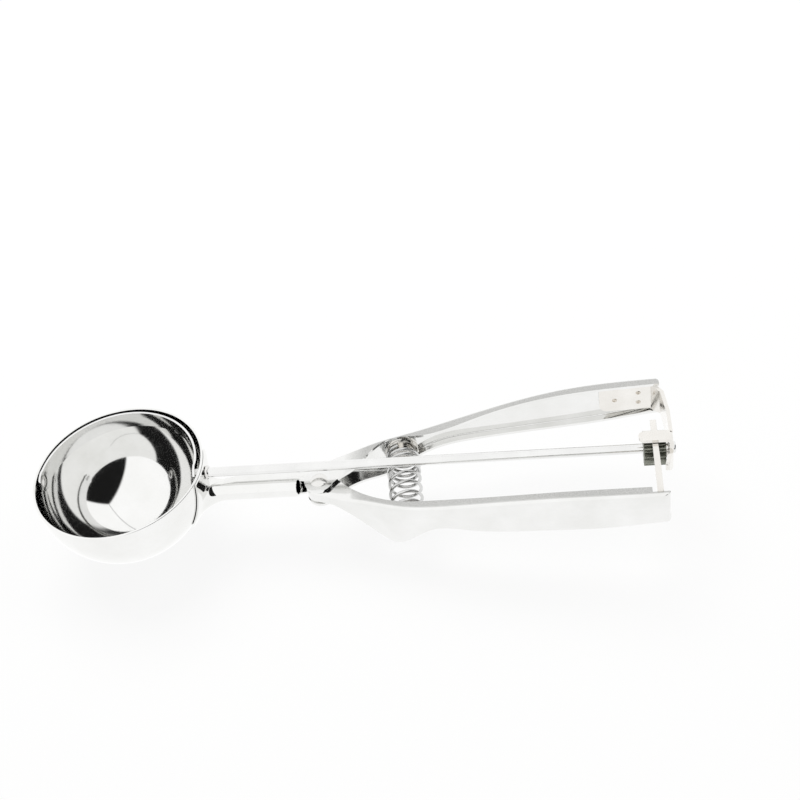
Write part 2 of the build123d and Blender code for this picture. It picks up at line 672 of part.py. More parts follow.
with BuildPart() as end_bracket:
    with BuildSketch(Plane.XY):
        with BuildLine():
            FilletPolyline(plan(bracket_start, leg_side - bracket_lean), plan(bracket_fold, leg_side),
                           plan(bracket_station - bracket_bow, leg_side - bracket_bow_depth),
                           plan(bracket_station, bracket_straight_side),
                           plan(bracket_station, tab_low_side),
                           plan(bracket_station - bracket_foot_bend, tab_low_side - lobe),
                           radius=bracket_bend)
        trace(line_width=bracket_sheet)
    extrude(amount=rod_z + clear_side)
    with BuildSketch(across(bracket_start - overshoot)):
        with BuildLine():
            leg_edge = leg_side + overshoot
            shoulder_height = tab_top - tab_shoulder_drop
            Polyline((leg_edge, -bracket_half_height), (leg_edge, bracket_half_height),
                     (bracket_crest_side, bracket_half_height + bracket_crest),
                     (tab_high_side + tab_shoulder, shoulder_height), (tab_high_side, shoulder_height),
                     (tab_high_side, tab_top - tab_outer_bend), (tab_low_side, tab_top - tab_outer_bend),
                     (tab_low_side, lobe))
            ThreePointArc((tab_low_side, lobe), (tab_low_side - lobe, 0), (tab_low_side, -lobe))
            Polyline((tab_low_side, -lobe), (bracket_crest_side, -lobe),
                     (bracket_taper_side, -bracket_half_height), (leg_edge, -bracket_half_height))
        make_face()
    extrude(amount=clear_side, mode=Mode.INTERSECT)
    leg_end = end_bracket.edges().sort_by(Axis.X)[:4]
    fillet(leg_end.sort_by(SortBy.LENGTH)[:2], radius=bracket_leg_round)
    add(guide_tab.part)
    with BuildSketch(across(bracket_start)):
        Circle(rod_radius + running_fit)
    extrude(amount=clear_side, mode=Mode.SUBTRACT)
    add(fixed_handle.part, mode=Mode.SUBTRACT)
end_bracket.part.label = "end_bracket"
export_step(end_bracket.part, "parts/end_bracket.step")

# ---- spring and its seats ----
fixed_seat_station = pivot_station + spring_reach_fixed
lever_seat_station = pivot_station + spring_reach_lever
spring_top = Vector(*point(fixed_seat_station, web_side(fixed_seat_station) - sheet, -spring_drop))
spring_low = Vector(*point(lever_seat_station, sheet - web_side(lever_seat_station), -spring_drop))
spring_way = (spring_low - spring_top).normalized()
coil_start = spring_top + spring_way * (seat_standoff_fixed + wire_radius + spring_play)
coil_end = spring_low - spring_way * (seat_standoff_lever + wire_radius + spring_play)
coil_length = (coil_end - coil_start).length
with BuildPart() as return_spring:
    with BuildLine() as coil:
        Helix(coil_length / spring_turns, coil_length, coil_radius, center=coil_start, direction=spring_way)
    with BuildSketch(Plane(origin=coil.line @ 0, z_dir=coil.line % 0)):
        Circle(wire_radius)
    sweep(is_frenet=True)
return_spring.part.label = "return_spring"
export_step(return_spring.part, "parts/return_spring.step")

post_radius = coil_radius - wire_radius - seat_side_play
shoulder_radius = coil_radius + wire_radius


def spring_seat(base, way, standoff, room):
    # shouldered stud, trimmed to the inside of its handle
    with BuildPart() as seat:
        with BuildSketch(Plane(origin=base - way * seat_sink, x_dir=(0, 0, 1), z_dir=way)):
            Circle(shoulder_radius)
        extrude(amount=seat_sink + standoff)
        with BuildSketch(Plane(origin=base, x_dir=(0, 0, 1), z_dir=way)):
            Circle(post_radius)
        extrude(amount=standoff + seat_post)
        add(room, mode=Mode.INTERSECT)
    return seat


spring_seat_fixed = spring_seat(spring_top, spring_way, seat_standoff_fixed, fixed_room)
spring_seat_fixed.part.label = "spring_seat_fixed"
export_step(spring_seat_fixed.part, "parts/spring_seat_fixed.step")
spring_seat_lever = spring_seat(spring_low, -spring_way, seat_standoff_lever, lever_room)
spring_seat_lever.part.label = "spring_seat_lever"
export_step(spring_seat_lever.part, "parts/spring_seat_lever.step")

# ---- weld spots, raised a little from the welded leg ----
bracket_weld_face = leg_side - bracket_sheet / 2 - spot_height
bracket_rear_spots = bracket_fold - bracket_spot_rear
with BuildPart() as bracket_spot_welds:
    with BuildSketch(Plane.XZ.offset(-bracket_weld_face + bracket_lean)):
        with Locations(side(bracket_fold - bracket_spot_front, -bracket_spot_drop)):
            Circle(spot_radius)
    with BuildSketch(Plane.XZ.offset(-bracket_weld_face)):
        with Locations(side(bracket_rear_spots, bracket_spot_spread),
                       side(bracket_rear_spots, -bracket_spot_spread)):
            Circle(spot_radius)
    extrude(amount=-spot_height - bracket_sheet / 2)
    add(end_bracket.part, mode=Mode.SUBTRACT)
bracket_spot_welds.part.label = "bracket_spot_welds"
export_step(bracket_spot_welds.part, "parts/bracket_spot_welds.step")

rack_rear_spots = rack_front - rack_spot_rear
with BuildPart() as rack_spot_welds:
    with BuildSketch(Plane.XZ.offset(-(foot_outer + rack_thickness + spot_height))):
        with Locations(side(rack_front - rack_spot_front, 0), side(rack_rear_spots, rack_spot_spread),
                       side(rack_rear_spots, -rack_spot_spread)):
            Circle(spot_radius)
    extrude(amount=spot_height + rack_thickness / 2)
    add(gear_rack.part, mode=Mode.SUBTRACT)
rack_spot_welds.part.label = "rack_spot_welds"
export_step(rack_spot_welds.part, "parts/rack_spot_welds.step")
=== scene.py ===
import math
import bmesh
import bpy
import numpy as np
from mathutils import Matrix, Vector


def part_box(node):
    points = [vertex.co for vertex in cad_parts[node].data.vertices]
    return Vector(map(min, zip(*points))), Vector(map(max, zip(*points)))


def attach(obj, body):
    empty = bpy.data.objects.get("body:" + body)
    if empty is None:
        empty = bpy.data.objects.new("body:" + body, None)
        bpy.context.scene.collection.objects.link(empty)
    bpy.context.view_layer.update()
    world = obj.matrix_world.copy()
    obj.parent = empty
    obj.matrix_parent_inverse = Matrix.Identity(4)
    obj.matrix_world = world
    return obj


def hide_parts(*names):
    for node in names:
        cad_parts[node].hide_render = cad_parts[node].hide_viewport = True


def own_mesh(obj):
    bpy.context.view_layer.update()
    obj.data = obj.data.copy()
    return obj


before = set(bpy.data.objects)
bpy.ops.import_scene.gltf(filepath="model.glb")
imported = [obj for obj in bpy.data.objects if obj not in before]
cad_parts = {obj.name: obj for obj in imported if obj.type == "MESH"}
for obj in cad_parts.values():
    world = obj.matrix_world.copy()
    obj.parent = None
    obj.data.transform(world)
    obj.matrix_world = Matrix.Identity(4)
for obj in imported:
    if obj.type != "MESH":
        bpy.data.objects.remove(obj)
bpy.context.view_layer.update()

mm = 0.001
print("frame loaded")

# Stations are millimetres behind the bowl's back, sides are millimetres towards the fixed handle,
# heights are millimetres above the drive rod's axis.
bowlLow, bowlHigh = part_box("bowl")
rodLow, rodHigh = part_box("drive_rod")
backX = bowlHigh.x
rodZ = (rodLow.z + rodHigh.z) / 2
bowlRadius = (bowlHigh.y - bowlLow.y) / 2 / mm
rimHeight = (bowlHigh.z - rodZ) / mm


def at(station, side, height):
    return Vector((backX + station * mm, side * mm, rodZ + height * mm))


def nodeSpan(node):
    # first and last station of a carried-over part
    low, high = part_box(node)
    return (low.x - backX) / mm, (high.x - backX) / mm


def smoothLine(points, startSlope, endSlope):
    # one smooth function through (station, value) points, with its slope set at both ends
    stations = np.array([p[0] for p in points], float)
    values = np.array([p[1] for p in points], float)
    count = len(points)
    system, right = np.zeros((count, count)), np.zeros(count)
    system[0, 0] = system[-1, -1] = 1
    right[0], right[-1] = startSlope, endSlope
    for i in range(1, count - 1):
        before, after = stations[i] - stations[i - 1], stations[i + 1] - stations[i]
        system[i, i - 1:i + 2] = 1 / before, 2 / before + 2 / after, 1 / after
        right[i] = 3 * (values[i] - values[i - 1]) / before**2 + 3 * (values[i + 1] - values[i]) / after**2
    slopes = np.linalg.solve(system, right)

    def value(s):
        i = int(np.clip(np.searchsorted(stations, s) - 1, 0, count - 2))
        length = stations[i + 1] - stations[i]
        t = (s - stations[i]) / length
        return float(values[i] * (1 + 2 * t) * (1 - t)**2 + slopes[i] * length * t * (1 - t)**2
                     + values[i + 1] * (3 - 2 * t) * t**2 + slopes[i + 1] * length * (t - 1) * t**2)
    return value


def blendStep(value, start, end):
    t = min(1.0, max(0.0, (value - start) / (end - start)))
    return t * t * (3 - 2 * t)


def onCircle(centre, radius, turn):
    return Vector((centre[0] + radius * math.cos(math.radians(turn)),
                   centre[1] + radius * math.sin(math.radians(turn))))


def spaced(start, end, step):
    # evenly spaced values from start to end, about a step apart
    return list(np.linspace(start, end, max(2, round(abs(end - start) / step) + 1)))


# millimetres within which points are merged, degrees within which faces count as flat or smooth
tolerance = {"merge": 0.001, "treeMerge": 0.0005, "solidMerge": 0.002, "flat": 0.4, "smooth": 35}


def linked(name, data):
    made = bpy.data.objects.new(name, data)
    bpy.context.collection.objects.link(made)
    return made


def fillMesh(mesh, built, merge, smoothAngle):
    # merged, turned outwards and shaded smooth apart from its sharp edges
    bmesh.ops.remove_doubles(built, verts=built.verts, dist=merge * mm)
    bmesh.ops.recalc_face_normals(built, faces=built.faces)
    built.to_mesh(mesh)
    built.free()
    mesh.polygons.foreach_set("use_smooth", [True] * len(mesh.polygons))
    mesh.set_sharp_from_angle(angle=math.radians(smoothAngle))


def meshObject(name, built, smoothAngle=tolerance["smooth"]):
    mesh = bpy.data.meshes.new(name)
    fillMesh(mesh, built, tolerance["merge"], smoothAngle)
    return linked(name, mesh)


def gridObject(name, rows, closedRows=False, closedColumns=False):
    # quads between rows of points; a closed row or column joins its end to its start
    built = bmesh.new()
    verts = [[built.verts.new(p) for p in row] for row in rows]
    rowCount, columnCount = len(rows), len(rows[0])
    for i in range(rowCount - (not closedRows)):
        for j in range(columnCount - (not closedColumns)):
            below, right = (i + 1) % rowCount, (j + 1) % columnCount
            built.faces.new((verts[i][j], verts[below][j], verts[below][right], verts[i][right]))
    return meshObject(name, built)


def sheetObject(name, outer, inner, hasMetal, isSeam):
    # sheet metal: two grids of points, with walls wherever a cell without metal is beside one with it,
    # apart from the sides where the sheet is joined to itself
    built = bmesh.new()
    outside = [[built.verts.new(p) for p in row] for row in outer]
    inside = [[built.verts.new(p) for p in row] for row in inner]
    cells = {(i, j) for i in range(len(outer) - 1) for j in range(len(outer[0]) - 1) if hasMetal(i, j)}
    for i, j in sorted(cells):
        ring = [(i, j), (i + 1, j), (i + 1, j + 1), (i, j + 1)]
        built.faces.new([outside[a][b] for a, b in ring])
        built.faces.new([inside[a][b] for a, b in reversed(ring)])
        for k, beside in enumerate([(i, j - 1), (i + 1, j), (i, j + 1), (i - 1, j)]):
            if beside not in cells and not isSeam(i, j, k):
                (a, b), (c, d) = ring[k], ring[(k + 1) % 4]
                built.faces.new((outside[c][d], outside[a][b], inside[a][b], inside[c][d]))
    for vert in [v for v in built.verts if not v.link_faces]:
        built.verts.remove(vert)
    return meshObject(name, built)


def latheObject(name, profile, origin, axis, steps=64, ring=False):
    # profile of (along, radius) in millimetres turned round an axis; a ring's profile closes on itself
    axis = Vector(axis).normalized()
    across = axis.orthogonal().normalized()
    third = axis.cross(across)
    rows = []
    for k in range(steps):
        turn = 2 * math.pi * k / steps
        out = across * math.cos(turn) + third * math.sin(turn)
        rows.append([origin + (axis * along + out * radius) * mm for along, radius in profile])
    return gridObject(name, rows, True, ring)


def arcPoints(centre, radius, start, end, steps):
    # points on an arc in the (along, radius) plane, angles in degrees
    return [tuple(onCircle(centre, radius, start + (end - start) * k / steps)) for k in range(steps + 1)]


def softEdges(piece, width, angle=50):
    bevel = piece.modifiers.new("softEdges", "BEVEL")
    bevel.width = width * mm
    bevel.segments = 2
    bevel.limit_method = "ANGLE"
    bevel.angle_limit = math.radians(angle)
    bevel.harden_normals = True
    return piece


def solidCopy(node, name, edge, angle=30):
    # a part's own shape with its flat faces joined up and its edges broken
    built = bmesh.new()
    built.from_mesh(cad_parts[node].data)
    bmesh.ops.remove_doubles(built, verts=built.verts, dist=tolerance["solidMerge"] * mm)
    bmesh.ops.dissolve_limit(built, angle_limit=math.radians(tolerance["flat"]), verts=built.verts,
                             edges=built.edges)
    return softEdges(meshObject(name, built, angle), edge, angle=angle)


def place(piece, body, slotName, finish, *nodes):
    piece.data.materials.clear()
    piece.data.materials.append(finish)
    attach(piece, body)
    if nodes:
        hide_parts(*nodes)
    return piece


def toLinear(hexColour):
    channels = [int(hexColour[i:i + 2], 16) / 255 for i in (1, 3, 5)]
    return [c / 12.92 if c <= 0.04045 else ((c + 0.055) / 1.055)**2.4 for c in channels] + [1.0]


def addNode(tree, kind, links=None, **settings):
    node = tree.nodes.new(kind)
    for key, value in settings.items():
        setattr(node, key, value)
    for socket, source in (links or {}).items():
        target = node.inputs[socket]
        if isinstance(source, bpy.types.NodeSocket):
            tree.links.new(source, target)
        else:
            target.default_value = source
    return node


def emptyTree(owner):
    owner.use_nodes = True
    owner.node_tree.nodes.clear()
    return owner.node_tree


def maths(tree, kind, *sources):
    return addNode(tree, "ShaderNodeMath", dict(enumerate(sources)), operation=kind).outputs[0]


def ranged(tree, value, limits, results=(0.0, 1.0)):
    ends = dict(zip(("From Min", "From Max", "To Min", "To Max"), (*limits, *results)))
    return addNode(tree, "ShaderNodeMapRange", {"Value": value, **ends}).outputs[0]


def steelFinish(name, **changes):
    # polished stainless steel: colour, a soft cloud of buffing, hairlines along the grain, fine scratches
    look = {**mirrorLook, **changes}
    material = bpy.data.materials.new(name)
    tree = emptyTree(material)
    coordinates = addNode(tree, "ShaderNodeTexCoord").outputs
    inMm = addNode(tree, "ShaderNodeVectorMath", {0: coordinates["Object"], 1: [1 / mm] * 3},
                   operation="MULTIPLY").outputs[0]

    def noise(vector, scale, detail, roughness=0.5, distortion=0.0):
        return addNode(tree, "ShaderNodeTexNoise", {
            "Vector": vector, "Scale": scale, "Detail": detail, "Roughness": roughness,
            "Distortion": distortion}).outputs["Fac"]

    def mixed(kind, factor, first, second):
        a, b, result = {"RGBA": (6, 7, 2), "FLOAT": (2, 3, 0)}[kind]
        return addNode(tree, "ShaderNodeMix", {"Factor": factor, a: first, b: second},
                       data_type=kind).outputs[result]

    def stretched(scale, turn=(0, 0, 0)):
        return addNode(tree, "ShaderNodeMapping", {
            "Vector": inMm, "Scale": scale, "Rotation": turn}).outputs[0]

    def bumped(height, strength, depth, **links):
        return addNode(tree, "ShaderNodeBump", {
            "Height": height, "Strength": strength, "Distance": depth * mm, **links}).outputs[0]

    tone = ranged(tree, noise(inMm, 1 / look["cloudSize"], *look["cloudNoise"]), look["cloudRange"])
    grain = noise(stretched(look["grain"]), 1.0, *look["grainNoise"])
    hair = noise(stretched(look["scratch"], look["scratchTurn"]), 1.0, *look["scratchNoise"])
    hair = ranged(tree, hair, look["scratchRange"])
    colour = mixed("RGBA", tone, toLinear(look["dark"]), toLinear(look["light"]))
    rough = ranged(tree, tone, (0.0, 1.0), look["rough"])
    rough = maths(tree, "MULTIPLY_ADD", grain, look["grainRough"], rough)
    rough = maths(tree, "MULTIPLY_ADD", hair, look["scratchRough"], rough)
    if "satin" in look:
        # the upper flange was only ground flat behind the ears, which leaves it rough with grinding specks;
        # the darker grey colour laid on its faces that turn straight up or down is painted shade
        satin = look["satin"]
        spot = addNode(tree, "ShaderNodeSeparateXYZ", {0: inMm}).outputs
        normal = addNode(tree, "ShaderNodeSeparateXYZ", {0: coordinates["Normal"]}).outputs
        # painted shade: the grey is strongest where the surface faces straight up or down
        share = ranged(tree, maths(tree, "ABSOLUTE", normal["Z"]), satin["level"])
        for way, start in (("X", backX), ("Z", rodZ)):
            begun = ranged(tree, spot[way], [start / mm + v for v in satin[way]])
            share = maths(tree, "MULTIPLY", share, begun)
        speck = ranged(tree, noise(inMm, 1 / satin["speckSize"], *satin["speckNoise"]), satin["speckRange"])
        groundAndShadeColour = mixed("RGBA", speck, toLinear(satin["dark"]), toLinear(satin["light"]))
        colour = mixed("RGBA", share, colour, groundAndShadeColour)
        rough = mixed("FLOAT", share, rough, ranged(tree, speck, (0.0, 1.0), satin["rough"]))
    grooves = maths(tree, "MULTIPLY_ADD", hair, -look["scratchDepth"], grain)
    grooved = bumped(grooves, look["bump"], look["bumpDepth"])
    waved = bumped(noise(inMm, 1 / look["waveSize"], 1.0), 1.0, look["waveDepth"], Normal=grooved)
    shader = addNode(tree, "ShaderNodeBsdfPrincipled", {
        "Base Color": colour, "Metallic": 1.0, "Roughness": rough, "Normal": waved})
    addNode(tree, "ShaderNodeOutputMaterial", {"Surface": shader.outputs[0]})
    return material


# mirror-buffed 18/8 stainless: almost no colour of its own, a faint cloud left by the buffing wheel
mirrorLook = {
    "light": "#EDEDEC", "dark": "#E6E6E4",
    "cloudSize": 14.0,              # mm, buffing clouds
    "cloudNoise": (4.0, 0.6), "cloudRange": (0.3, 0.7),
    "grain": (0.12, 3.0, 3.0),      # per mm, buffing lines run along the tool
    "grainNoise": (5.0, 0.7),
    "scratch": (0.35, 6.0, 6.0),    # per mm, hairlines drawn coarser than real to show
    "scratchTurn": (0.3, 0.2, 0.5), "scratchNoise": (1.0, 0.5, 0.6), "scratchRange": (0.66, 0.72),
    "rough": (0.03, 0.065), "grainRough": 0.03, "scratchRough": 0.1,
    "scratchDepth": 0.4, "bump": 0.05, "bumpDepth": 0.01,
    "waveSize": 9.0, "waveDepth": 0.012,  # mm, ripple left by drawing the sheet
}
mirrorSteel = steelFinish("mirrorBuffedStainless")
# pressed strip, buffed along its length: soft lines, and its upper flange is satin behind the ears, with
# painted shade greying its faces that turn up or down
pressedSteel = steelFinish(
    "buffedPressedStainless", light="#ECECEB", dark="#E3E3E1", grain=(0.08, 5.0, 5.0), rough=(0.05, 0.1),
    grainRough=0.06, bump=0.12, waveSize=6.0, waveDepth=0.015,
    satin={"light": "#C9C9C7", "dark": "#AFAFAD", "rough": (0.3, 0.2), "level": (0.86, 0.985),
           "X": (46.0, 53.0), "Z": (-5.5, -5.3),  # stations and heights over which it begins
           "speckSize": 0.35, "speckNoise": (3.0, 0.8), "speckRange": (0.36, 0.64)})  # mm, grinding specks
# rolled strip, tumbled after bending: a little softer than the handles
bracketSteel = steelFinish(
    "tumbledStripStainless", light="#ECEAE6", dark="#DFDCD7", grain=(2.0, 0.3, 2.0), rough=(0.07, 0.14),
    grainRough=0.07, bump=0.12)
# spot welds: the strip's own steel, slightly straw coloured by the heat
weldSteel = steelFinish(
    "heatTintedWeldSteel", light="#DED8CF", dark="#B9AE9F", rough=(0.16, 0.26), cloudSize=0.5, grainRough=0.1)
# turned and headed, then tumbled: soft highlights
rivetSteel = steelFinish("tumbledRivetStainless", light="#E6E5E3", dark="#D8D7D4", rough=(0.07, 0.12))
# drawn wire: bright and a shade darker
springSteel = steelFinish(
    "drawnSpringWire", light="#D8D8D7", dark="#C4C4C3", grain=(4.0, 4.0, 4.0), rough=(0.04, 0.08),
    grainRough=0.05, cloudSize=3.0)
# centreless ground: fine lines round it
rodSteel = steelFinish(
    "groundRodStainless", light="#EAEAE9", dark="#E0E0DF", grain=(8.0, 0.6, 0.6), rough=(0.05, 0.09))
# sintered gear, oiled: dark, matt and a little green
gearSteel = steelFinish(
    "sinteredGearSteel", light="#9C9E94", dark="#7E8078", grain=(3.0, 3.0, 3.0), rough=(0.26, 0.38),
    grainRough=0.15, bump=0.5, bumpDepth=0.02, cloudSize=1.5)
# rolled strip: faint lines along it
bladeSteel = steelFinish(
    "springBladeStainless", light="#EAEAE9", dark="#E0E0DF", grain=(0.3, 0.3, 4.0), rough=(0.05, 0.1))
print("finishes made")

# bowl: spun cup with a straight band up to its rolled rim
bowl = {"wall": 0.8, "rimRound": 0.25, "steps": 192, "arcSteps": 72, "rimSteps": 4}


def makeBowl():
    inside = bowlRadius - bowl["wall"]
    lip, rimSteps = bowl["rimRound"], bowl["rimSteps"]
    outer = arcPoints((0, 0), bowlRadius, 180, 90, bowl["arcSteps"])
    rim = arcPoints((rimHeight - lip, bowlRadius - lip), lip, 90, 0, rimSteps) + \
        arcPoints((rimHeight - lip, inside + lip), lip, 0, -90, rimSteps)
    inner = arcPoints((0, 0), inside, 90, 180, bowl["arcSteps"])
    profile = outer + [(rimHeight / 2, bowlRadius)] + rim + [(rimHeight / 2, inside)] + inner
    profile = [(along, max(0.0, radius)) for along, radius in profile]
    piece = latheObject("bowl_cup", profile, at(-bowlRadius, 0, 0), (0, 0, 1), bowl["steps"])
    return place(piece, "frame", "mirror_steel", mirrorSteel, "bowl")


makeBowl()

# shank: neck tube, flared out to the saddle that hugs the bowl
shank = {"neckRadius": 3.7, "wall": 0.8, "drop": 9.2, "end": 30.3, "flareEnd": 5.5,
         "tilt": 21.6, "footAngle": 17.0, "pull": (5.5, 5.0), "edgeLift": 0.22, "liftFrom": 0.75,
         "top": 3.0, "headWidth": 16.0, "width": 22.4, "widest": 13.0, "bottom": 20.6,
         "sides": [((4.5, -15), (0, -13)), ((0, -11), (-16, 0))],  # how each half of a side sets off and ends
         "columns": 96, "neckRows": 12, "flareRows": 20, "saddleRows": 14, "topSteps": 120,
         "sideSteps": 480}


def hermite(start, end, startPull, endPull, t):
    return start * ((1 + 2 * t) * (1 - t)**2) + startPull * (t * (1 - t)**2) \
        + end * ((3 - 2 * t) * t**2) + endPull * ((t - 1) * t**2)


def saddleOutline():
    # closely spaced (side, height) points round the saddle, seen along the rod
    head = shank["headWidth"] / 2
    points = [Vector((t * head, shank["top"])) for t in np.linspace(0, 1, shank["topSteps"])]
    corners = [Vector(p) for p in ((head, shank["top"]), (shank["width"] / 2, -shank["widest"]),
                                   (0, -shank["bottom"]))]
    for start, end, pulls in zip(corners, corners[1:], shank["sides"]):
        points += [hermite(start, end, *map(Vector, pulls), t)
                   for t in np.linspace(0, 1, shank["sideSteps"])[1:]]
    return points + [Vector((-p.x, p.y)) for p in reversed(points[:-1])]


def makeShank():
    tilt = math.radians(shank["tilt"])
    outward = Vector((math.cos(tilt), 0, -math.sin(tilt)))
    upward = Vector((math.sin(tilt), 0, math.cos(tilt)))
    sideways = Vector((0, 1, 0))
    saddleRadius = bowlRadius + shank["wall"]
    outline = saddleOutline()
    middle = saddleRadius * outward
    # stations are measured from the bowl's centre here, because the saddle is round it
    flareEnd, neckEnd = shank["flareEnd"] + bowlRadius, shank["end"] + bowlRadius
    pullBack, pullOut = (2 * pull for pull in shank["pull"])
    rows = []
    for k in range(shank["columns"]):
        turn = 2 * math.pi * k / shank["columns"]
        spread = upward * math.cos(turn) + sideways * math.sin(turn)
        edge = min(outline, key=lambda p: abs(math.remainder(
            math.atan2(p.x, p.y - middle.z) - turn, 2 * math.pi)))
        edgeWay = Vector((math.sqrt(saddleRadius**2 - edge.x**2 - edge.y**2), edge.x, edge.y)).normalized()
        row = []
        for wall in (0.0, shank["wall"]):
            neck = shank["neckRadius"] - wall
            ball = saddleRadius - wall
            foot = math.radians(shank["footAngle"]) - wall / ball
            neckY, neckH = neck * math.sin(turn), neck * math.cos(turn) - shank["drop"]
            side = [Vector((station, neckY, neckH))
                    for station in np.linspace(neckEnd, flareEnd + 2, shank["neckRows"])]
            footWay = outward * math.cos(foot) + spread * math.sin(foot)
            slide = spread * math.cos(foot) - outward * math.sin(foot)
            pulls = Vector((-pullBack, 0, 0)), slide * pullOut
            side += [hermite(Vector((flareEnd, neckY, neckH)), footWay * ball, *pulls, t)
                     for t in np.linspace(0, 1, shank["flareRows"])]
            for t in np.linspace(0, 1, shank["saddleRows"])[1:]:
                lift = shank["edgeLift"] * blendStep(t, shank["liftFrom"], 1.0) if wall else 0.0
                side.append(footWay.lerp(edgeWay, t).normalized() * (ball + lift))
            row += side[::-1] if wall else side
        rows.append([at(p.x - bowlRadius, p.y, p.z) for p in row])
    piece = gridObject("shank_neck_and_saddle", rows, True, True)
    return place(piece, "frame", "mirror_steel", mirrorSteel, "shank")


makeShank()
print("bowl and shank made")

# handles: pressed channels with rounded bends
handle = {"sheet": 1.0, "flange": 3.3, "bend": 1.4, "end": 150.9, "corner": 2.6,
          "shellRadius": 4.5, "shellWall": 0.8, "shellEdge": 0.2, "shellEase": 4.0, "seam": 16.0,
          "topSlope": 0.04, "bottomSlope": 0.1, "lipSlope": 0.02,  # at the rear end
          "flangeSteps": 6, "bendSteps": 6, "webSteps": 10, "edge": 0.16, "sharp": 0.05,
          "rowStep": 0.8, "cornerStep": 0.25, "endStep": 0.1}
pivot = {"station": 38.4, "side": -2.0, "earRadius": 4.9, "hole": 1.66, "topFlatEnd": 45.3}
webPath = [(55.5, 13.3), (71.5, 17.5), (91.5, 20.7), (121.5, 24.0), (148.3, 24.9)]
upperEdge = [(55.5, -4.2), (67.5, -3.7), (81.5, -1.5), (101.5, 2.6), (121.5, 5.5), (150.9, 6.9)]
fixedLower = [(55.5, -18.8), (61.5, -18.6), (68.5, -14.4), (77.5, -10.6), (89.5, -9.9), (111.5, -10.2),
              (131.5, -9.2), (150.9, -6.6)]
leverLower = [(55.5, -18.7), (62.5, -23.2), (68.5, -20.0), (75.5, -14.3), (87.5, -12.9), (111.5, -11.0),
              (131.5, -9.3), (150.9, -6.9)]
alongWeb = [(s, d - handle["flange"]) for s, d in webPath]
pivotPlan = (pivot["station"], pivot["side"])
cornerStart = handle["end"] - handle["corner"]
webCut = 150.4          # behind this the rounded corner leaves only the flanges
flangeEnd = handle["flangeSteps"]
lowerStart = flangeEnd + 2 * handle["bendSteps"] + handle["webSteps"]
lastColumn = lowerStart + handle["flangeSteps"] - 1
endRows = spaced(cornerStart + 0.2, webCut, handle["cornerStep"]) + \
    spaced(webCut + handle["endStep"], handle["end"], handle["endStep"])


def endOutline(station):
    # how far a handle reaches to its side at its rounded rear corner
    over = max(0.0, station - cornerStart)
    if over == 0:
        return math.inf
    return webPath[-1][1] - handle["corner"] + math.sqrt(max(0.0, handle["corner"]**2 - over**2))


def edgeLine(height, flatEnd, points, startSlope, endSlope):
    # level along the ears, then along a smooth line through the points
    line = smoothLine([(flatEnd, height)] + points, startSlope, endSlope)
    return lambda station: line(station) if station > flatEnd else height


def edgeLines(piece, lowerEdge):
    return (edgeLine(piece["earTop"], pivot["topFlatEnd"], upperEdge, 0.0, handle["topSlope"]),
            edgeLine(piece["earBottom"], piece["bottomFlatEnd"], lowerEdge, piece["earSlope"],
                     handle["bottomSlope"]))


def channelRow(web, outward, lip, top, bottom, bend, wall, plates=False, lowerLip=None):
    # outer and inner points across a channel, from the upper lip round the web to the lower lip. The web
    # and the lip are places in plan, top and bottom give heights for a station, and plates leaves the
    # flanges their full width for the rows where the web is cut away; a lower lip may differ from the upper
    turns = [math.pi / 2 * k / handle["bendSteps"] for k in range(1, handle["bendSteps"] + 1)]
    across = [k / handle["flangeSteps"] for k in range(handle["flangeSteps"] + 1)]
    down = [k / handle["webSteps"] for k in range(1, handle["webSteps"] + 1)]
    row = []
    for inset in (0.0, wall):
        radius = max(bend - inset, handle["sharp"])
        edge = web if plates else web - outward * max(bend, inset + handle["sharp"])
        line = []

        def add(spot, heightOf, shift):
            side = math.copysign(min(abs(spot.y), endOutline(spot.x)), spot.y)
            line.append(Vector((spot.x, side, heightOf(spot.x) + shift)))

        def bent(turn):
            return web - outward * (inset + radius - radius * math.sin(turn))

        for t in across:
            add(lip.lerp(edge, t), top, -inset)
        for turn in turns:
            add(bent(turn), top, -inset - radius + radius * math.cos(turn))
        upper = line[-1].copy()
        lower = Vector((upper.x, upper.y, bottom(upper.x) + inset + radius))
        line += [upper.lerp(lower, t) for t in down]
        for turn in turns:
            add(bent(math.pi / 2 - turn), bottom, inset + radius - radius * math.sin(turn))
        for t in across[1:]:
            add(edge.lerp(lowerLip or lip, t), bottom, inset)
        row.append(line)
    return row


def shellRow(station, wall):
    # outer and inner points round the neck, from the seam over the top to straight below; the front edge
    # is dressed down thin onto the neck
    eased = 1 - blendStep(station, shank["flareEnd"], shank["flareEnd"] + handle["shellEase"])
    thinned = eased * (wall - handle["shellEdge"])
    outer, inner = handle["shellRadius"] - thinned, handle["shellRadius"] - wall
    turns = [math.radians(-handle["seam"] + (180 + handle["seam"]) * k / (lastColumn + 1))
             for k in range(lastColumn + 2)]
    return [[Vector((station, radius * math.sin(t), radius * math.cos(t) - shank["drop"])) for t in turns]
            for radius in (outer, inner)]


def finishHandle(name, rows, hasMetal, isSeam, node, body):
    outer, inner = ([[at(*p) for p in row[face]] for row in rows] for face in (0, 1))
    piece = softEdges(sheetObject(name, outer, inner, hasMetal, isSeam), handle["edge"])
    return place(piece, body, "pressed_steel", pressedSteel, node)


fixed = {"earTop": -4.7, "earBottom": -12.1, "earSlope": -0.15, "bottomFlatEnd": 41.6,
         "webRise": (41.4, 7.5), "webSlope": 0.05, "throat": [(49.4, 2.0)],
         "lowerThroat": [(47.5, 2.7), (51.0, 6.6)], "earEdge": 30.0,
         "seamRelief": 1.2, "squared": (-1.0, 4.0), "bendExtra": 1.6, "bendSettles": (1.0, 17.0),
         "neckStep": 1.0, "seamStep": 0.5, "earStep": 0.27}


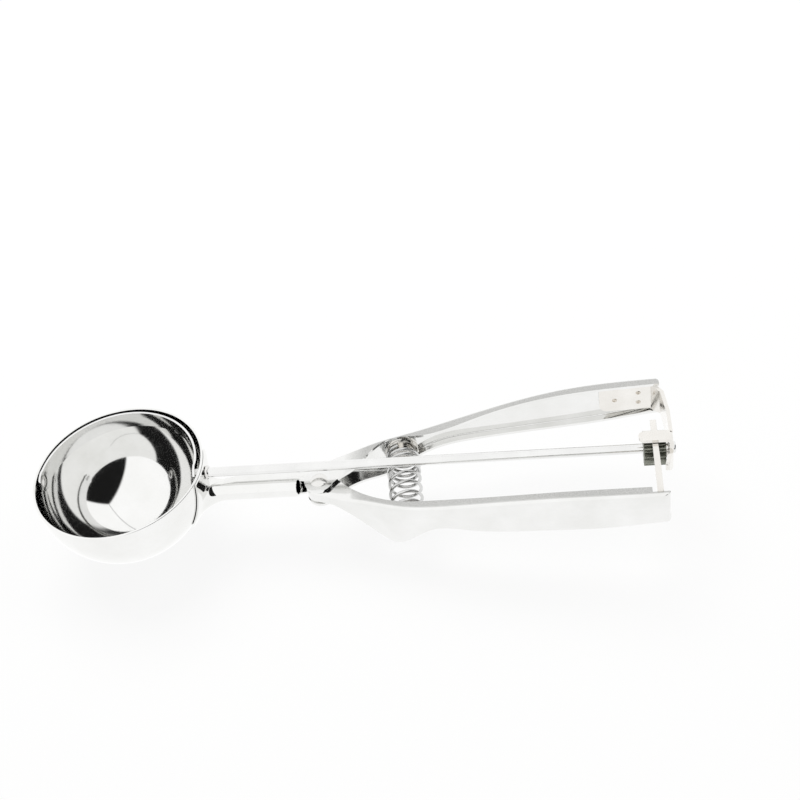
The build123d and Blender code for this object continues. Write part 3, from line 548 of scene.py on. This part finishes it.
def makeFixedHandle():
    # the half shell round the neck turns into a square channel just behind the neck's end
    neckEnd = shank["end"]
    web = smoothLine([(neckEnd, handle["shellRadius"]), fixed["webRise"]] + webPath, fixed["webSlope"], 0.0)
    top, bottom = edgeLines(fixed, fixedLower)
    tip = onCircle(pivotPlan, pivot["earRadius"], -fixed["earEdge"])
    back = onCircle(pivotPlan, pivot["earRadius"], 180 + fixed["earEdge"])
    seamSide = -handle["shellRadius"] * math.sin(math.radians(handle["seam"]))
    startSlope = 1 / math.tan(math.radians(fixed["earEdge"]))
    lipLine, lowerLine = (smoothLine([tuple(tip)] + throat + alongWeb, startSlope, handle["lipSlope"])
                          for throat in (fixed["throat"], fixed["lowerThroat"]))
    relief = back.x - fixed["seamRelief"]

    def lip(s, isLower=False):
        if s < relief:
            return seamSide
        if s < back.x:
            return seamSide + (back.y - seamSide) * (s - relief) / fixed["seamRelief"]
        if s < tip.x:
            return pivot["side"] - math.sqrt(pivot["earRadius"]**2 - (s - pivot["station"])**2)
        return (lowerLine if isLower else lipLine)(s)

    # the rows lie closest where the outline turns
    neckStep, seamStep = fixed["neckStep"], fixed["seamStep"]
    stations = spaced(shank["flareEnd"], neckEnd - neckStep, neckStep) + \
        spaced(neckEnd - seamStep, relief - 0.05, seamStep) + spaced(relief, tip.x, fixed["earStep"]) + \
        spaced(tip.x + 0.3, cornerStart, handle["rowStep"]) + endRows
    rows = []
    for s in stations:
        squared = blendStep(s, *[neckEnd + shift for shift in fixed["squared"]])
        wall = handle["shellWall"] + (handle["sheet"] - handle["shellWall"]) * squared
        shell = shellRow(s, wall)
        settled = blendStep(s, *[neckEnd + shift for shift in fixed["bendSettles"]])
        bend = handle["bend"] + fixed["bendExtra"] * (1 - settled)
        side = web(s) if s > neckEnd else handle["shellRadius"]
        square = channelRow(Vector((s, side)), Vector((0, 1)), Vector((s, lip(s))), top, bottom, bend, wall,
                            lowerLip=Vector((s, lip(s, True))))
        rows.append([[a.lerp(b, squared) for a, b in zip(*pair)] for pair in zip(shell, square)])

    def hasMetal(i, j):
        return not (stations[i] >= webCut and flangeEnd <= j < lowerStart)

    finishHandle("fixed_handle_channel", rows, hasMetal, lambda i, j, k: False, "fixed_handle", "frame")


# turns are degrees round the pivot, from the handles' ends towards the fixed handle
lever = {"earTop": -5.9, "earBottom": -10.9, "earSlope": -0.35, "bottomFlatEnd": 42.8,
         "noseStart": 180.0, "noseEnd": 256.0, "noseBend": 25.0, "earEnd": 45.0, "seamStation": 44.0,
         "notch": 145.18, "holeEnd": 42.5, "seamEnd": 46.0, "lipSettled": 57.0,
         "earTurn": 6.0, "noseTurn": 3.5, "cornerRows": 5, "holeRows": 16, "notchStep": 0.5}


def makeLeverHandle():
    def ear(turn):
        return onCircle(pivotPlan, pivot["earRadius"], turn)

    def hole(turn):
        return onCircle(pivotPlan, pivot["hole"], turn)

    def outOf(turn):
        return onCircle((0, 0), 1, turn)

    noseEnd, corner = ear(lever["noseEnd"]), ear(lever["earEnd"])
    noseSlope = 1 / math.tan(math.radians(lever["noseEnd"] - 180))
    line = smoothLine([(noseEnd.x, -noseEnd.y)] + webPath, noseSlope, 0.0)
    lipSide = smoothLine([(corner.x, -corner.y)] + alongWeb, 1.0, handle["lipSlope"])
    top, bottom = edgeLines(lever, leverLower)
    seam = Vector((lever["seamStation"], -lipSide(lever["seamStation"])))
    sharp = handle["sharp"]
    rows = []

    def addRow(web, outward, lip, bend, plates=False):
        rows.append(channelRow(web, outward, lip, top, bottom, bend, handle["sheet"], plates))

    # the open side of the ears, from the lip line round to the nose
    for t in np.linspace(0, 1, lever["cornerRows"]):
        s = seam.x + (corner.x - seam.x) * t
        addRow(Vector((s, -lipSide(s))), Vector((0, 1)), hole(lever["earEnd"] * t), sharp, True)
    for turn in spaced(lever["earEnd"] + lever["earTurn"], lever["noseStart"] - 0.3, lever["earTurn"]):
        addRow(ear(turn), outOf(turn), hole(turn), sharp, True)
    firstWeb = len(rows)
    # the nose, with the ears' holes beside it
    for turn in spaced(lever["noseStart"], lever["noseEnd"], lever["noseTurn"]):
        bent = blendStep(turn, lever["noseStart"], lever["noseStart"] + lever["noseBend"])
        addRow(ear(turn), outOf(turn), hole(turn), sharp + (handle["bend"] - sharp) * bent)

    def webRow(s, lip):
        slope = (line(s + 0.05) - line(s - 0.05)) / 0.1
        addRow(Vector((s, -line(s))), Vector((-slope, -1)).normalized(), lip, handle["bend"])

    # the web beside the rest of the holes, then along the seam, then along the lip line
    holeEnd, seamEnd = lever["holeEnd"], lever["seamEnd"]
    for t in np.linspace(0, 1, lever["holeRows"])[1:]:
        turn = lever["noseEnd"] + (360 - lever["noseEnd"]) * t
        webRow(noseEnd.x + (holeEnd - noseEnd.x) * t, hole(turn))
    firstSeam = len(rows) - 1
    for k in range(1, handle["flangeSteps"] + 1):
        t = k / handle["flangeSteps"]
        webRow(holeEnd + (seamEnd - holeEnd) * t, hole(0).lerp(seam, t))
    lastSeam = len(rows) - 1
    behind = seamEnd - seam.x
    for s in spaced(seamEnd + 0.6, lever["notch"], handle["rowStep"])[:-1] + \
            spaced(lever["notch"], cornerStart, lever["notchStep"]) + endRows:
        lipStation = s - behind * (1 - blendStep(s, seamEnd, lever["lipSettled"]))
        webRow(s, Vector((lipStation, -lipSide(lipStation))))

    def hasMetal(i, j):
        station = rows[i][0][flangeEnd + handle["bendSteps"]].x
        if flangeEnd <= j < lowerStart and (i < firstWeb or station >= webCut - 0.01):
            return False
        return not (i > lastSeam and station >= lever["notch"] - 0.01 and j < flangeEnd)

    def isSeam(i, j, k):
        flangeCell = j < flangeEnd or j >= lowerStart
        lipSideOfCell = (j == 0 and k == 0) or (j == lastColumn and k == 2)
        return (i == 0 and k == 3 and flangeCell) or (firstSeam <= i < lastSeam and lipSideOfCell)

    finishHandle("lever_handle_channel", rows, hasMetal, isSeam, "lever_handle", "lever")


makeFixedHandle()
makeLeverHandle()
print("handles made")

# pivot rivet, its washer and the scraper's front pin
rivet = {"top": -4.7, "headRadius": 2.85, "head": 1.0, "radius": 1.6, "washer": (-12.7, -12.1, 3.0),
         "clench": (2.42, 0.7), "shoulder": 0.12}
frontPin = {"outer": (58.0, 0.6, 2.2), "radius": 1.4, "inner": (56.08, 0.6, 2.2)}
turnedEdge = 0.12


def domed(base, height, radius, steps=10):
    # half profile of a low dome, from its top on the axis down to its edge
    ball = (radius**2 + height**2) / (2 * height)
    turn = math.degrees(math.asin(min(1.0, radius / ball)))
    return [(base + ball * math.cos(math.radians(a)) - ball + height, ball * math.sin(math.radians(a)))
            for a in np.linspace(0, turn, steps)]


def washerObject(name, low, high, ring, inner, origin, axis):
    profile = [(low, inner), (low, ring - turnedEdge), (low + turnedEdge, ring), (high - turnedEdge, ring),
               (high, ring - turnedEdge), (high, inner)]
    return latheObject(name, profile, origin, axis, ring=True)


def makePivot():
    base = at(*pivotPlan, 0)
    shoulder = rivet["shoulder"]
    dome = domed(rivet["top"], rivet["head"] - shoulder, rivet["headRadius"])
    head = [(a + shoulder, r) for a, r in dome]
    low, high, ring = rivet["washer"]
    clench = [(2 * low - a, r) for a, r in domed(low, rivet["clench"][1], rivet["clench"][0])][::-1]
    profile = head + [(rivet["top"], rivet["headRadius"]), (rivet["top"], rivet["radius"]),
                      (low, rivet["radius"])] + clench
    place(latheObject("pivot_rivet_turned", profile, base, (0, 0, 1)), "frame", "rivet_steel", rivetSteel,
          "pivot_rivet")
    place(washerObject("pivot_washer_turned", low, high, ring, rivet["radius"] + 0.02, base, (0, 0, 1)),
          "frame", "rivet_steel", rivetSteel, "pivot_washer")


def makeFrontPin():
    face, height, radius = frontPin["outer"]
    inFace, inHeight, inRadius = frontPin["inner"]
    profile = domed(face, height, radius)
    profile += [(face, frontPin["radius"]), (inFace, frontPin["radius"])]
    profile += [(2 * inFace - a, r) for a, r in domed(inFace, inHeight, inRadius)][::-1]
    place(latheObject("front_pin_turned", profile, at(0, 0, 0), (-1, 0, 0)), "frame", "rivet_steel",
          rivetSteel, "front_pin")


makePivot()
makeFrontPin()

# scraper: sprung strip with a rounded lug at each bearing, set a little forward in the bowl
scraper = {"outer": 27.4, "thickness": 0.7, "centre": -29.5, "halfWidth": 3.2, "lug": 3.4, "edge": 0.12,
           "blend": 8,  # how sharply a lug turns into the strip
           "endZone": 8.0, "fine": 0.4, "coarse": 1.0, "lugSteps": 14, "widthSteps": 9}


def makeScraper():
    middle = scraper["outer"] - scraper["thickness"] / 2
    half = math.pi * middle
    lug, blend = scraper["lug"], scraper["blend"]

    def width(a):
        near = min(a, half - a)
        ear = math.sqrt(max(0.0, lug**2 - near**2))
        return ear if near < 0 else (ear**blend + scraper["halfWidth"]**blend)**(1 / blend)

    ends = [-lug * math.cos(t) for t in np.linspace(0, math.pi / 2, scraper["lugSteps"])]
    zone, fine, coarse = scraper["endZone"], scraper["fine"], scraper["coarse"]
    path = ends + spaced(fine, zone, fine) + spaced(zone + coarse, half - (zone + coarse), coarse) + \
        spaced(half - zone, half - fine, fine) + [half - e for e in reversed(ends)]
    grids = []
    for radius in (scraper["outer"], scraper["outer"] - scraper["thickness"]):
        grid = []
        for a in path:
            turn = a / middle
            row = []
            for v in np.linspace(-1, 1, scraper["widthSteps"]):
                height = v * width(a)
                reach = math.sqrt(radius**2 - height**2)
                row.append(at(scraper["centre"] - reach * math.cos(turn), reach * math.sin(turn), height))
            grid.append(row)
        grids.append(grid)
    piece = sheetObject("scraper_strip", grids[0], grids[1], lambda i, j: True, lambda i, j, k: False)
    place(softEdges(piece, scraper["edge"]), "blade_shaft", "blade_steel", bladeSteel, "scraper_blade")


makeScraper()

# drive rod, collar and rear washer
rod = {"radius": 1.6, "frontHead": (-3.7, -2.92, 2.3), "tailHead": (1.0, 1.95), "tailRound": 0.5,
       "collar": (0.92, 1.72, 2.3), "washer": (150.98, 151.78, 3.2)}


def makeRod():
    start, shoulder, headRadius = rod["frontHead"]
    tail = nodeSpan("drive_rod")[1]
    tailHeight, tailRadius = rod["tailHead"]
    radius, soft = rod["radius"], rod["tailRound"]
    head = [(2 * shoulder - a, r) for a, r in domed(shoulder, shoulder - start, headRadius)]
    back = tail - tailHeight
    profile = head + [(s, radius) for s in spaced(shoulder, back, 6)]
    profile += [(back, tailRadius - turnedEdge), (back + turnedEdge, tailRadius)]
    profile += arcPoints((tail - soft, tailRadius - soft), soft, 90, 0, 6) + [(tail, 0.0)]
    place(latheObject("drive_rod_turned", profile, at(0, 0, 0), (1, 0, 0)), "blade_shaft", "rod_steel",
          rodSteel, "drive_rod")
    for name, node, (low, high, ring) in (("rod_collar_turned", "rod_collar", rod["collar"]),
                                          ("rear_washer_turned", "rear_washer", rod["washer"])):
        place(washerObject(name, low, high, ring, radius + 0.02, at(0, 0, 0), (1, 0, 0)), "blade_shaft",
              "rivet_steel", rivetSteel, node)


makeRod()
print("pivot, scraper and rod made")


# the coil spring, the pinion and the weld spots are Geometry Nodes trees
def startTree(name, values):
    # one named input for each value
    tree = bpy.data.node_groups.new(name, "GeometryNodeTree")
    for label, value in values.items():
        kind = {float: "Float", int: "Int"}.get(type(value), "Object")
        tree.interface.new_socket(label, in_out="INPUT", socket_type="NodeSocket" + kind)
    tree.interface.new_socket("Geometry", in_out="OUTPUT", socket_type="NodeSocketGeometry")
    return tree, addNode(tree, "NodeGroupInput")


def endTree(tree, geometry, finish):
    whole = addNode(tree, "GeometryNodeRealizeInstances", {0: geometry})
    dressed = addNode(tree, "GeometryNodeSetMaterial", {0: whole.outputs[0], "Material": finish})
    addNode(tree, "NodeGroupOutput", {0: dressed.outputs[0]})


def runTree(name, tree, values, matrix=Matrix()):
    # evaluates the tree on an empty mesh and keeps the result as a plain mesh
    holder = linked(name, bpy.data.meshes.new(name))
    modifier = holder.modifiers.new("tree", "NODES")
    modifier.node_group = tree
    for item in tree.interface.items_tree:
        if item.in_out == "INPUT" and item.name in values:
            modifier[item.identifier] = values[item.name]
    bpy.context.view_layer.update()
    evaluated = holder.evaluated_get(bpy.context.evaluated_depsgraph_get())
    mesh = bpy.data.meshes.new_from_object(evaluated)
    holder.modifiers.clear()
    holder.data = mesh
    mesh.transform(matrix)
    built = bmesh.new()
    built.from_mesh(mesh)
    fillMesh(mesh, built, tolerance["treeMerge"], tolerance["smooth"])
    return holder


# wound closer at the fixed handle's end and opening out towards the lever's
spring = {"radius": 5.15, "wire": 0.56, "closePitch": 2.1, "closed": 3.7, "opening": 1.0, "open": 3.0,
          "lastClosed": 0.6, "steps": 760, "startTurn": 100.0,
          "fixed": (64.4, 14.636, -11.5), "lever": (68.2, -15.664, -11.5), "standoffs": (0.8, 2.8),
          "play": (0.05, 0.6), "wireSides": 14}  # the lever's stud tilts, so the coil has more play there


def makeSpring():
    upper, lower = at(*spring["fixed"]), at(*spring["lever"])
    way = (lower - upper).normalized()
    gaps = [stud + spring["wire"] + play for stud, play in zip(spring["standoffs"], spring["play"])]
    start, end = upper + way * gaps[0] * mm, lower - way * gaps[1] * mm
    values = {"Radius": spring["radius"] * mm, "Wire": spring["wire"] * mm, "Length": (end - start).length,
              "Close Pitch": spring["closePitch"] * mm, "Closed Turns": spring["closed"],
              "Opening Turns": spring["opening"], "Open Turns": spring["open"],
              "Last Turns": spring["lastClosed"], "Steps": spring["steps"]}
    tree, given = startTree("coilSpring", values)
    radius, wire, length, pitch, closed, opening, opened, last, steps = given.outputs[:9]
    line = addNode(tree, "GeometryNodeMeshLine", {"Count": steps})
    index = addNode(tree, "GeometryNodeInputIndex").outputs[0]
    share = maths(tree, "DIVIDE", index, maths(tree, "SUBTRACT", steps, 1.0))
    active = maths(tree, "ADD", opening, opened)
    turns = maths(tree, "ADD", maths(tree, "ADD", closed, active), last)
    turn = maths(tree, "MULTIPLY", share, turns)
    angle = maths(tree, "MULTIPLY", turn, 2 * math.pi)
    # the extra pitch grows evenly over the opening turns, stays over the open ones and ends with them
    past = maths(tree, "MAXIMUM", maths(tree, "SUBTRACT", turn, closed), 0.0)
    inOpening = maths(tree, "MINIMUM", past, opening)
    grown = maths(tree, "DIVIDE", maths(tree, "MULTIPLY", inOpening, inOpening),
                  maths(tree, "MULTIPLY", opening, 2.0))
    steady = maths(tree, "SUBTRACT", maths(tree, "MINIMUM", past, active), opening)
    spread = maths(tree, "ADD", grown, maths(tree, "MAXIMUM", steady, 0.0))
    wholeSpread = maths(tree, "MULTIPLY_ADD", opening, 0.5, opened)
    spare = maths(tree, "SUBTRACT", length, maths(tree, "MULTIPLY", turns, pitch))
    extra = maths(tree, "MULTIPLY", maths(tree, "DIVIDE", spread, wholeSpread), spare)
    height = maths(tree, "MULTIPLY_ADD", turn, pitch, extra)
    x = maths(tree, "MULTIPLY", radius, maths(tree, "COSINE", angle))
    y = maths(tree, "MULTIPLY", radius, maths(tree, "SINE", angle))
    position = addNode(tree, "ShaderNodeCombineXYZ", {0: x, 1: y, 2: height})
    coil = addNode(tree, "GeometryNodeSetPosition", {0: line.outputs[0], "Position": position.outputs[0]})
    curve = addNode(tree, "GeometryNodeMeshToCurve", {0: coil.outputs[0]})
    circle = addNode(tree, "GeometryNodeCurvePrimitiveCircle", {
        "Resolution": spring["wireSides"], "Radius": wire})
    tube = addNode(tree, "GeometryNodeCurveToMesh", {
        "Curve": curve.outputs[0], "Profile Curve": circle.outputs[0], "Fill Caps": True})
    endTree(tree, tube.outputs[0], springSteel)
    up = Vector((0, 0, 1))
    turned = Matrix((up.cross(way), up, way)).transposed().to_4x4()
    matrix = Matrix.Translation(start) @ turned @ Matrix.Rotation(math.radians(spring["startTurn"]), 4, "Z")
    piece = runTree("return_spring_coil", tree, values, matrix)
    place(piece, "frame", "spring_wire", springSteel, "return_spring")
    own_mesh(piece)


pinion = {"teeth": 12, "tip": 5.5, "root": 3.75, "tipHalf": 0.034, "rootHalf": 0.2085, "pointsPerTooth": 28,
          "edge": 0.14}


def makePinion():
    front, back = nodeSpan("pinion")
    values = {"Teeth": pinion["teeth"], "Points per Tooth": pinion["pointsPerTooth"],
              "Tip Radius": pinion["tip"] * mm, "Root Radius": pinion["root"] * mm,
              "Tip Half Angle": pinion["tipHalf"], "Root Half Angle": pinion["rootHalf"],
              "Width": (back - front) * mm}
    tree, given = startTree("toothedWheel", values)
    teeth, perTooth, tip, root, tipHalf, rootHalf, width = given.outputs[:7]
    disc = addNode(tree, "GeometryNodeMeshCircle", {
        "Vertices": maths(tree, "MULTIPLY", teeth, perTooth), "Radius": 1.0}, fill_type="NGON")
    where = addNode(tree, "GeometryNodeInputPosition").outputs[0]
    index = addNode(tree, "GeometryNodeInputIndex").outputs[0]
    phase = maths(tree, "FRACT", maths(tree, "DIVIDE", index, perTooth))
    away = maths(tree, "ABSOLUTE", maths(tree, "SUBTRACT", phase, 0.5))
    angle = maths(tree, "MULTIPLY", away, maths(tree, "DIVIDE", 2 * math.pi, teeth))
    reach = ranged(tree, angle, (tipHalf, rootHalf), (tip, root))
    shaped = addNode(tree, "ShaderNodeVectorMath", {0: where, "Scale": reach}, operation="SCALE")
    outline = addNode(tree, "GeometryNodeSetPosition", {0: disc.outputs[0], "Position": shaped.outputs[0]})
    raised = addNode(tree, "GeometryNodeExtrudeMesh", {
        0: outline.outputs[0], "Offset Scale": width, "Individual": False}, mode="FACES")
    flipped = addNode(tree, "GeometryNodeFlipFaces", {0: outline.outputs[0]})
    whole = addNode(tree, "GeometryNodeJoinGeometry", {0: raised.outputs[0]})
    tree.links.new(flipped.outputs[0], whole.inputs[0])
    merged = addNode(tree, "GeometryNodeMergeByDistance", {0: whole.outputs[0], "Distance": 0.01 * mm})
    endTree(tree, merged.outputs[0], gearSteel)
    matrix = Matrix.Translation(at(front, 0, 0)) @ Matrix.Rotation(math.radians(90), 4, "Y")
    piece = runTree("pinion_toothed", tree, values, matrix)
    softEdges(piece, pinion["edge"], angle=60)
    place(piece, "blade_shaft", "gear_steel", gearSteel, "pinion")


# a weld's half profile of (height, radius) from the dimple in its middle out to its foot
nugget = {"profile": [(0.07, 0.0), (0.08, 0.168), (0.2, 0.392), (0.18, 0.54), (0.1, 0.765), (-0.1, 0.9),
                      (-0.1, 0.0)], "sides": 24,
          "bracket": [(136.5, 22.37, -0.6), (144.2, 22.56, 2.15), (144.2, 22.56, -2.15)],
          "rack": [(137.58, -21.88, 0), (142.58, -21.88, 2), (142.58, -21.88, -2)]}


def weldSpots(name, places, outward, node, body):
    # one low nugget with a dimple, instanced on each weld's place
    stamp = latheObject("weldStamp", nugget["profile"], Vector((0, 0, 0)), (0, 0, 1), nugget["sides"])
    spots = bpy.data.meshes.new(name + "Points")
    spots.from_pydata([tuple(at(*p)) for p in places], [], [])
    holder = linked(name + "Holder", spots)
    values = {"Nugget": stamp, "Places": holder}
    tree, given = startTree(name + "Tree", values)
    source = addNode(tree, "GeometryNodeObjectInfo", {"Object": given.outputs[0]})
    marks = addNode(tree, "GeometryNodeObjectInfo", {"Object": given.outputs[1]})
    turn = Vector((0, 0, 1)).rotation_difference(Vector(outward)).to_euler()
    copies = addNode(tree, "GeometryNodeInstanceOnPoints", {
        "Points": marks.outputs["Geometry"], "Instance": source.outputs["Geometry"],
        "Rotation": tuple(turn)})
    endTree(tree, copies.outputs[0], weldSteel)
    piece = runTree(name, tree, values)
    for extra in (stamp, holder):
        bpy.data.objects.remove(extra)
    place(piece, body, "bracket_steel", weldSteel, node)


makeSpring()
makePinion()
weldSpots("bracket_weld_nuggets", nugget["bracket"], (0, -1, 0), "bracket_spot_welds", "frame")
weldSpots("rack_weld_nuggets", nugget["rack"], (0, 1, 0), "rack_spot_welds", "lever")
print("spring, pinion and welds made")

# strip and turned parts that keep their own shape
for node, name, body, edge in (("end_bracket", "end_bracket_strip", "frame", 0.22),
                               ("gear_rack", "gear_rack_strip", "lever", 0.14),
                               ("spring_seat_fixed", "fixed_spring_stud", "frame", 0.25),
                               ("spring_seat_lever", "lever_spring_stud", "lever", 0.25)):
    place(solidCopy(node, name, edge), body, "bracket_steel", bracketSteel, node)
print("strip parts made")

# floor, light and camera
studio = {"floor": "#F7F7F6", "floorShine": 1.0, "floorMirrored": 0.1, "floorVeil": 0.85,
          "floorHalf": 4.0, "floorLevel": -0.0005,  # metres
          "camera": (125.71, -267.77, 301.41), "lens": 56.25, "sensor": 36.0,
          "right": (0.9878, 0.0561, -0.1454), "up": (0.0612, 0.7184, 0.6929),
          "panels": {"overhead": ((-0.3, 0.6, 1.1), 0.9, 9), "side": ((0.9, 0.3, 0.9), 0.8, 3)}}


def makeFloor():
    # a white table: its own light takes part in what the camera and the steel see, and the shadow stays
    material = bpy.data.materials.new("studioFloor")
    tree = emptyTree(material)
    cloth = addNode(tree, "ShaderNodeBsdfDiffuse", {"Color": toLinear(studio["floor"])})
    path = addNode(tree, "ShaderNodeLightPath").outputs
    shine = maths(tree, "MULTIPLY_ADD", path["Is Glossy Ray"], studio["floorMirrored"],
                  studio["floorShine"])
    own = addNode(tree, "ShaderNodeEmission", {"Color": (1, 1, 1, 1), "Strength": shine})
    veil = maths(tree, "MULTIPLY", path["Is Camera Ray"], studio["floorVeil"])
    share = maths(tree, "MAXIMUM", veil, path["Is Glossy Ray"])
    mixed = addNode(tree, "ShaderNodeMixShader", {0: share, 1: cloth.outputs[0], 2: own.outputs[0]})
    addNode(tree, "ShaderNodeOutputMaterial", {"Surface": mixed.outputs[0]})
    ends = -studio["floorHalf"], studio["floorHalf"]
    floor = gridObject("studioFloor", [[Vector((x, y, studio["floorLevel"])) for x in ends] for y in ends])
    floor.data.materials.append(material)
    if floor.data.polygons[0].normal.z < 0:
        floor.data.flip_normals()


room = {"glow": 1.15,                       # the white tent, as the steel sees it
        "darkAxis": (0.950, -0.285, -0.124),  # the open, dark side of the tent lies round this direction
        "darkHalf": 67.5, "soft": 1.2,        # degrees
        "curtain": (-0.277, 0.955, 0.105),    # the tent's side curtain starts at this plane
        "darkDepth": 0.99, "plain": 0.55,     # what anything but steel sees
        "seam": (-0.574, -0.705, 0.416), "seamHalf": 0.45, "seamSoft": 0.003, "seamDepth": 0.6,
        "seamFrom": 0.75, "seamFade": 0.02}


def makeWorld():
    world = bpy.data.worlds.new("studio")
    bpy.context.scene.world = world
    tree = emptyTree(world)
    direction = addNode(tree, "ShaderNodeTexCoord").outputs["Generated"]

    def along(way):
        return addNode(tree, "ShaderNodeVectorMath", {0: direction, 1: tuple(Vector(way).normalized())},
                       operation="DOT_PRODUCT").outputs["Value"]

    def step(value, middle, half):
        return ranged(tree, value, (middle - half, middle + half))

    soft = math.radians(room["soft"])
    inDark = step(along(room["darkAxis"]), math.cos(math.radians(room["darkHalf"])), soft)
    beforeCurtain = maths(tree, "SUBTRACT", 1.0, step(along(room["curtain"]), 0.0, soft))
    dark = maths(tree, "MULTIPLY", inDark, beforeCurtain)
    # a thin grey seam in the tent's roof
    offSeam = step(maths(tree, "ABSOLUTE", along(room["seam"])), math.radians(room["seamHalf"]),
                   room["seamSoft"])
    seam = maths(tree, "MULTIPLY", maths(tree, "SUBTRACT", 1.0, offSeam),
                 step(along((0, 0, 1)), room["seamFrom"], room["seamFade"]))
    shade = maths(tree, "MAXIMUM", maths(tree, "MULTIPLY", dark, room["darkDepth"]),
                  maths(tree, "MULTIPLY", seam, room["seamDepth"]))
    light = maths(tree, "MULTIPLY", maths(tree, "SUBTRACT", 1.0, shade), room["glow"])
    tent, plain, backdrop = (
        addNode(tree, "ShaderNodeBackground", {"Color": (1, 1, 1, 1), "Strength": strength}).outputs[0]
        for strength in (light, room["plain"], 1.0))
    path = addNode(tree, "ShaderNodeLightPath").outputs
    seen = plain
    for ray, shown in (("Is Glossy Ray", tent), ("Is Camera Ray", backdrop)):
        seen = addNode(tree, "ShaderNodeMixShader", {0: path[ray], 1: seen, 2: shown}).outputs[0]
    addNode(tree, "ShaderNodeOutputWorld", {"Surface": seen})


def makePanels():
    for name, (where, size, power) in studio["panels"].items():
        lamp = bpy.data.lights.new(name, "AREA")
        lamp.size = size
        lamp.energy = power
        panel = linked(name, lamp)
        panel.location = where
        panel.rotation_mode = "QUATERNION"
        panel.rotation_quaternion = (-Vector(where)).to_track_quat("-Z", "Y")
        panel.visible_glossy = False


def makeCamera():
    lens = bpy.data.cameras.new("camera")
    lens.lens = studio["lens"]
    lens.sensor_width = studio["sensor"]
    lens.clip_start = 0.01
    camera = linked("camera", lens)
    right, up = Vector(studio["right"]).normalized(), Vector(studio["up"]).normalized()
    back = right.cross(up)
    camera.matrix_world = Matrix.Translation(at(*studio["camera"])) @ \
        Matrix((right, up, back)).transposed().to_4x4()
    bpy.context.scene.camera = camera


makeFloor()
makeWorld()
makePanels()
makeCamera()
bpy.context.scene.view_settings.view_transform = "Standard"
print("studio made")
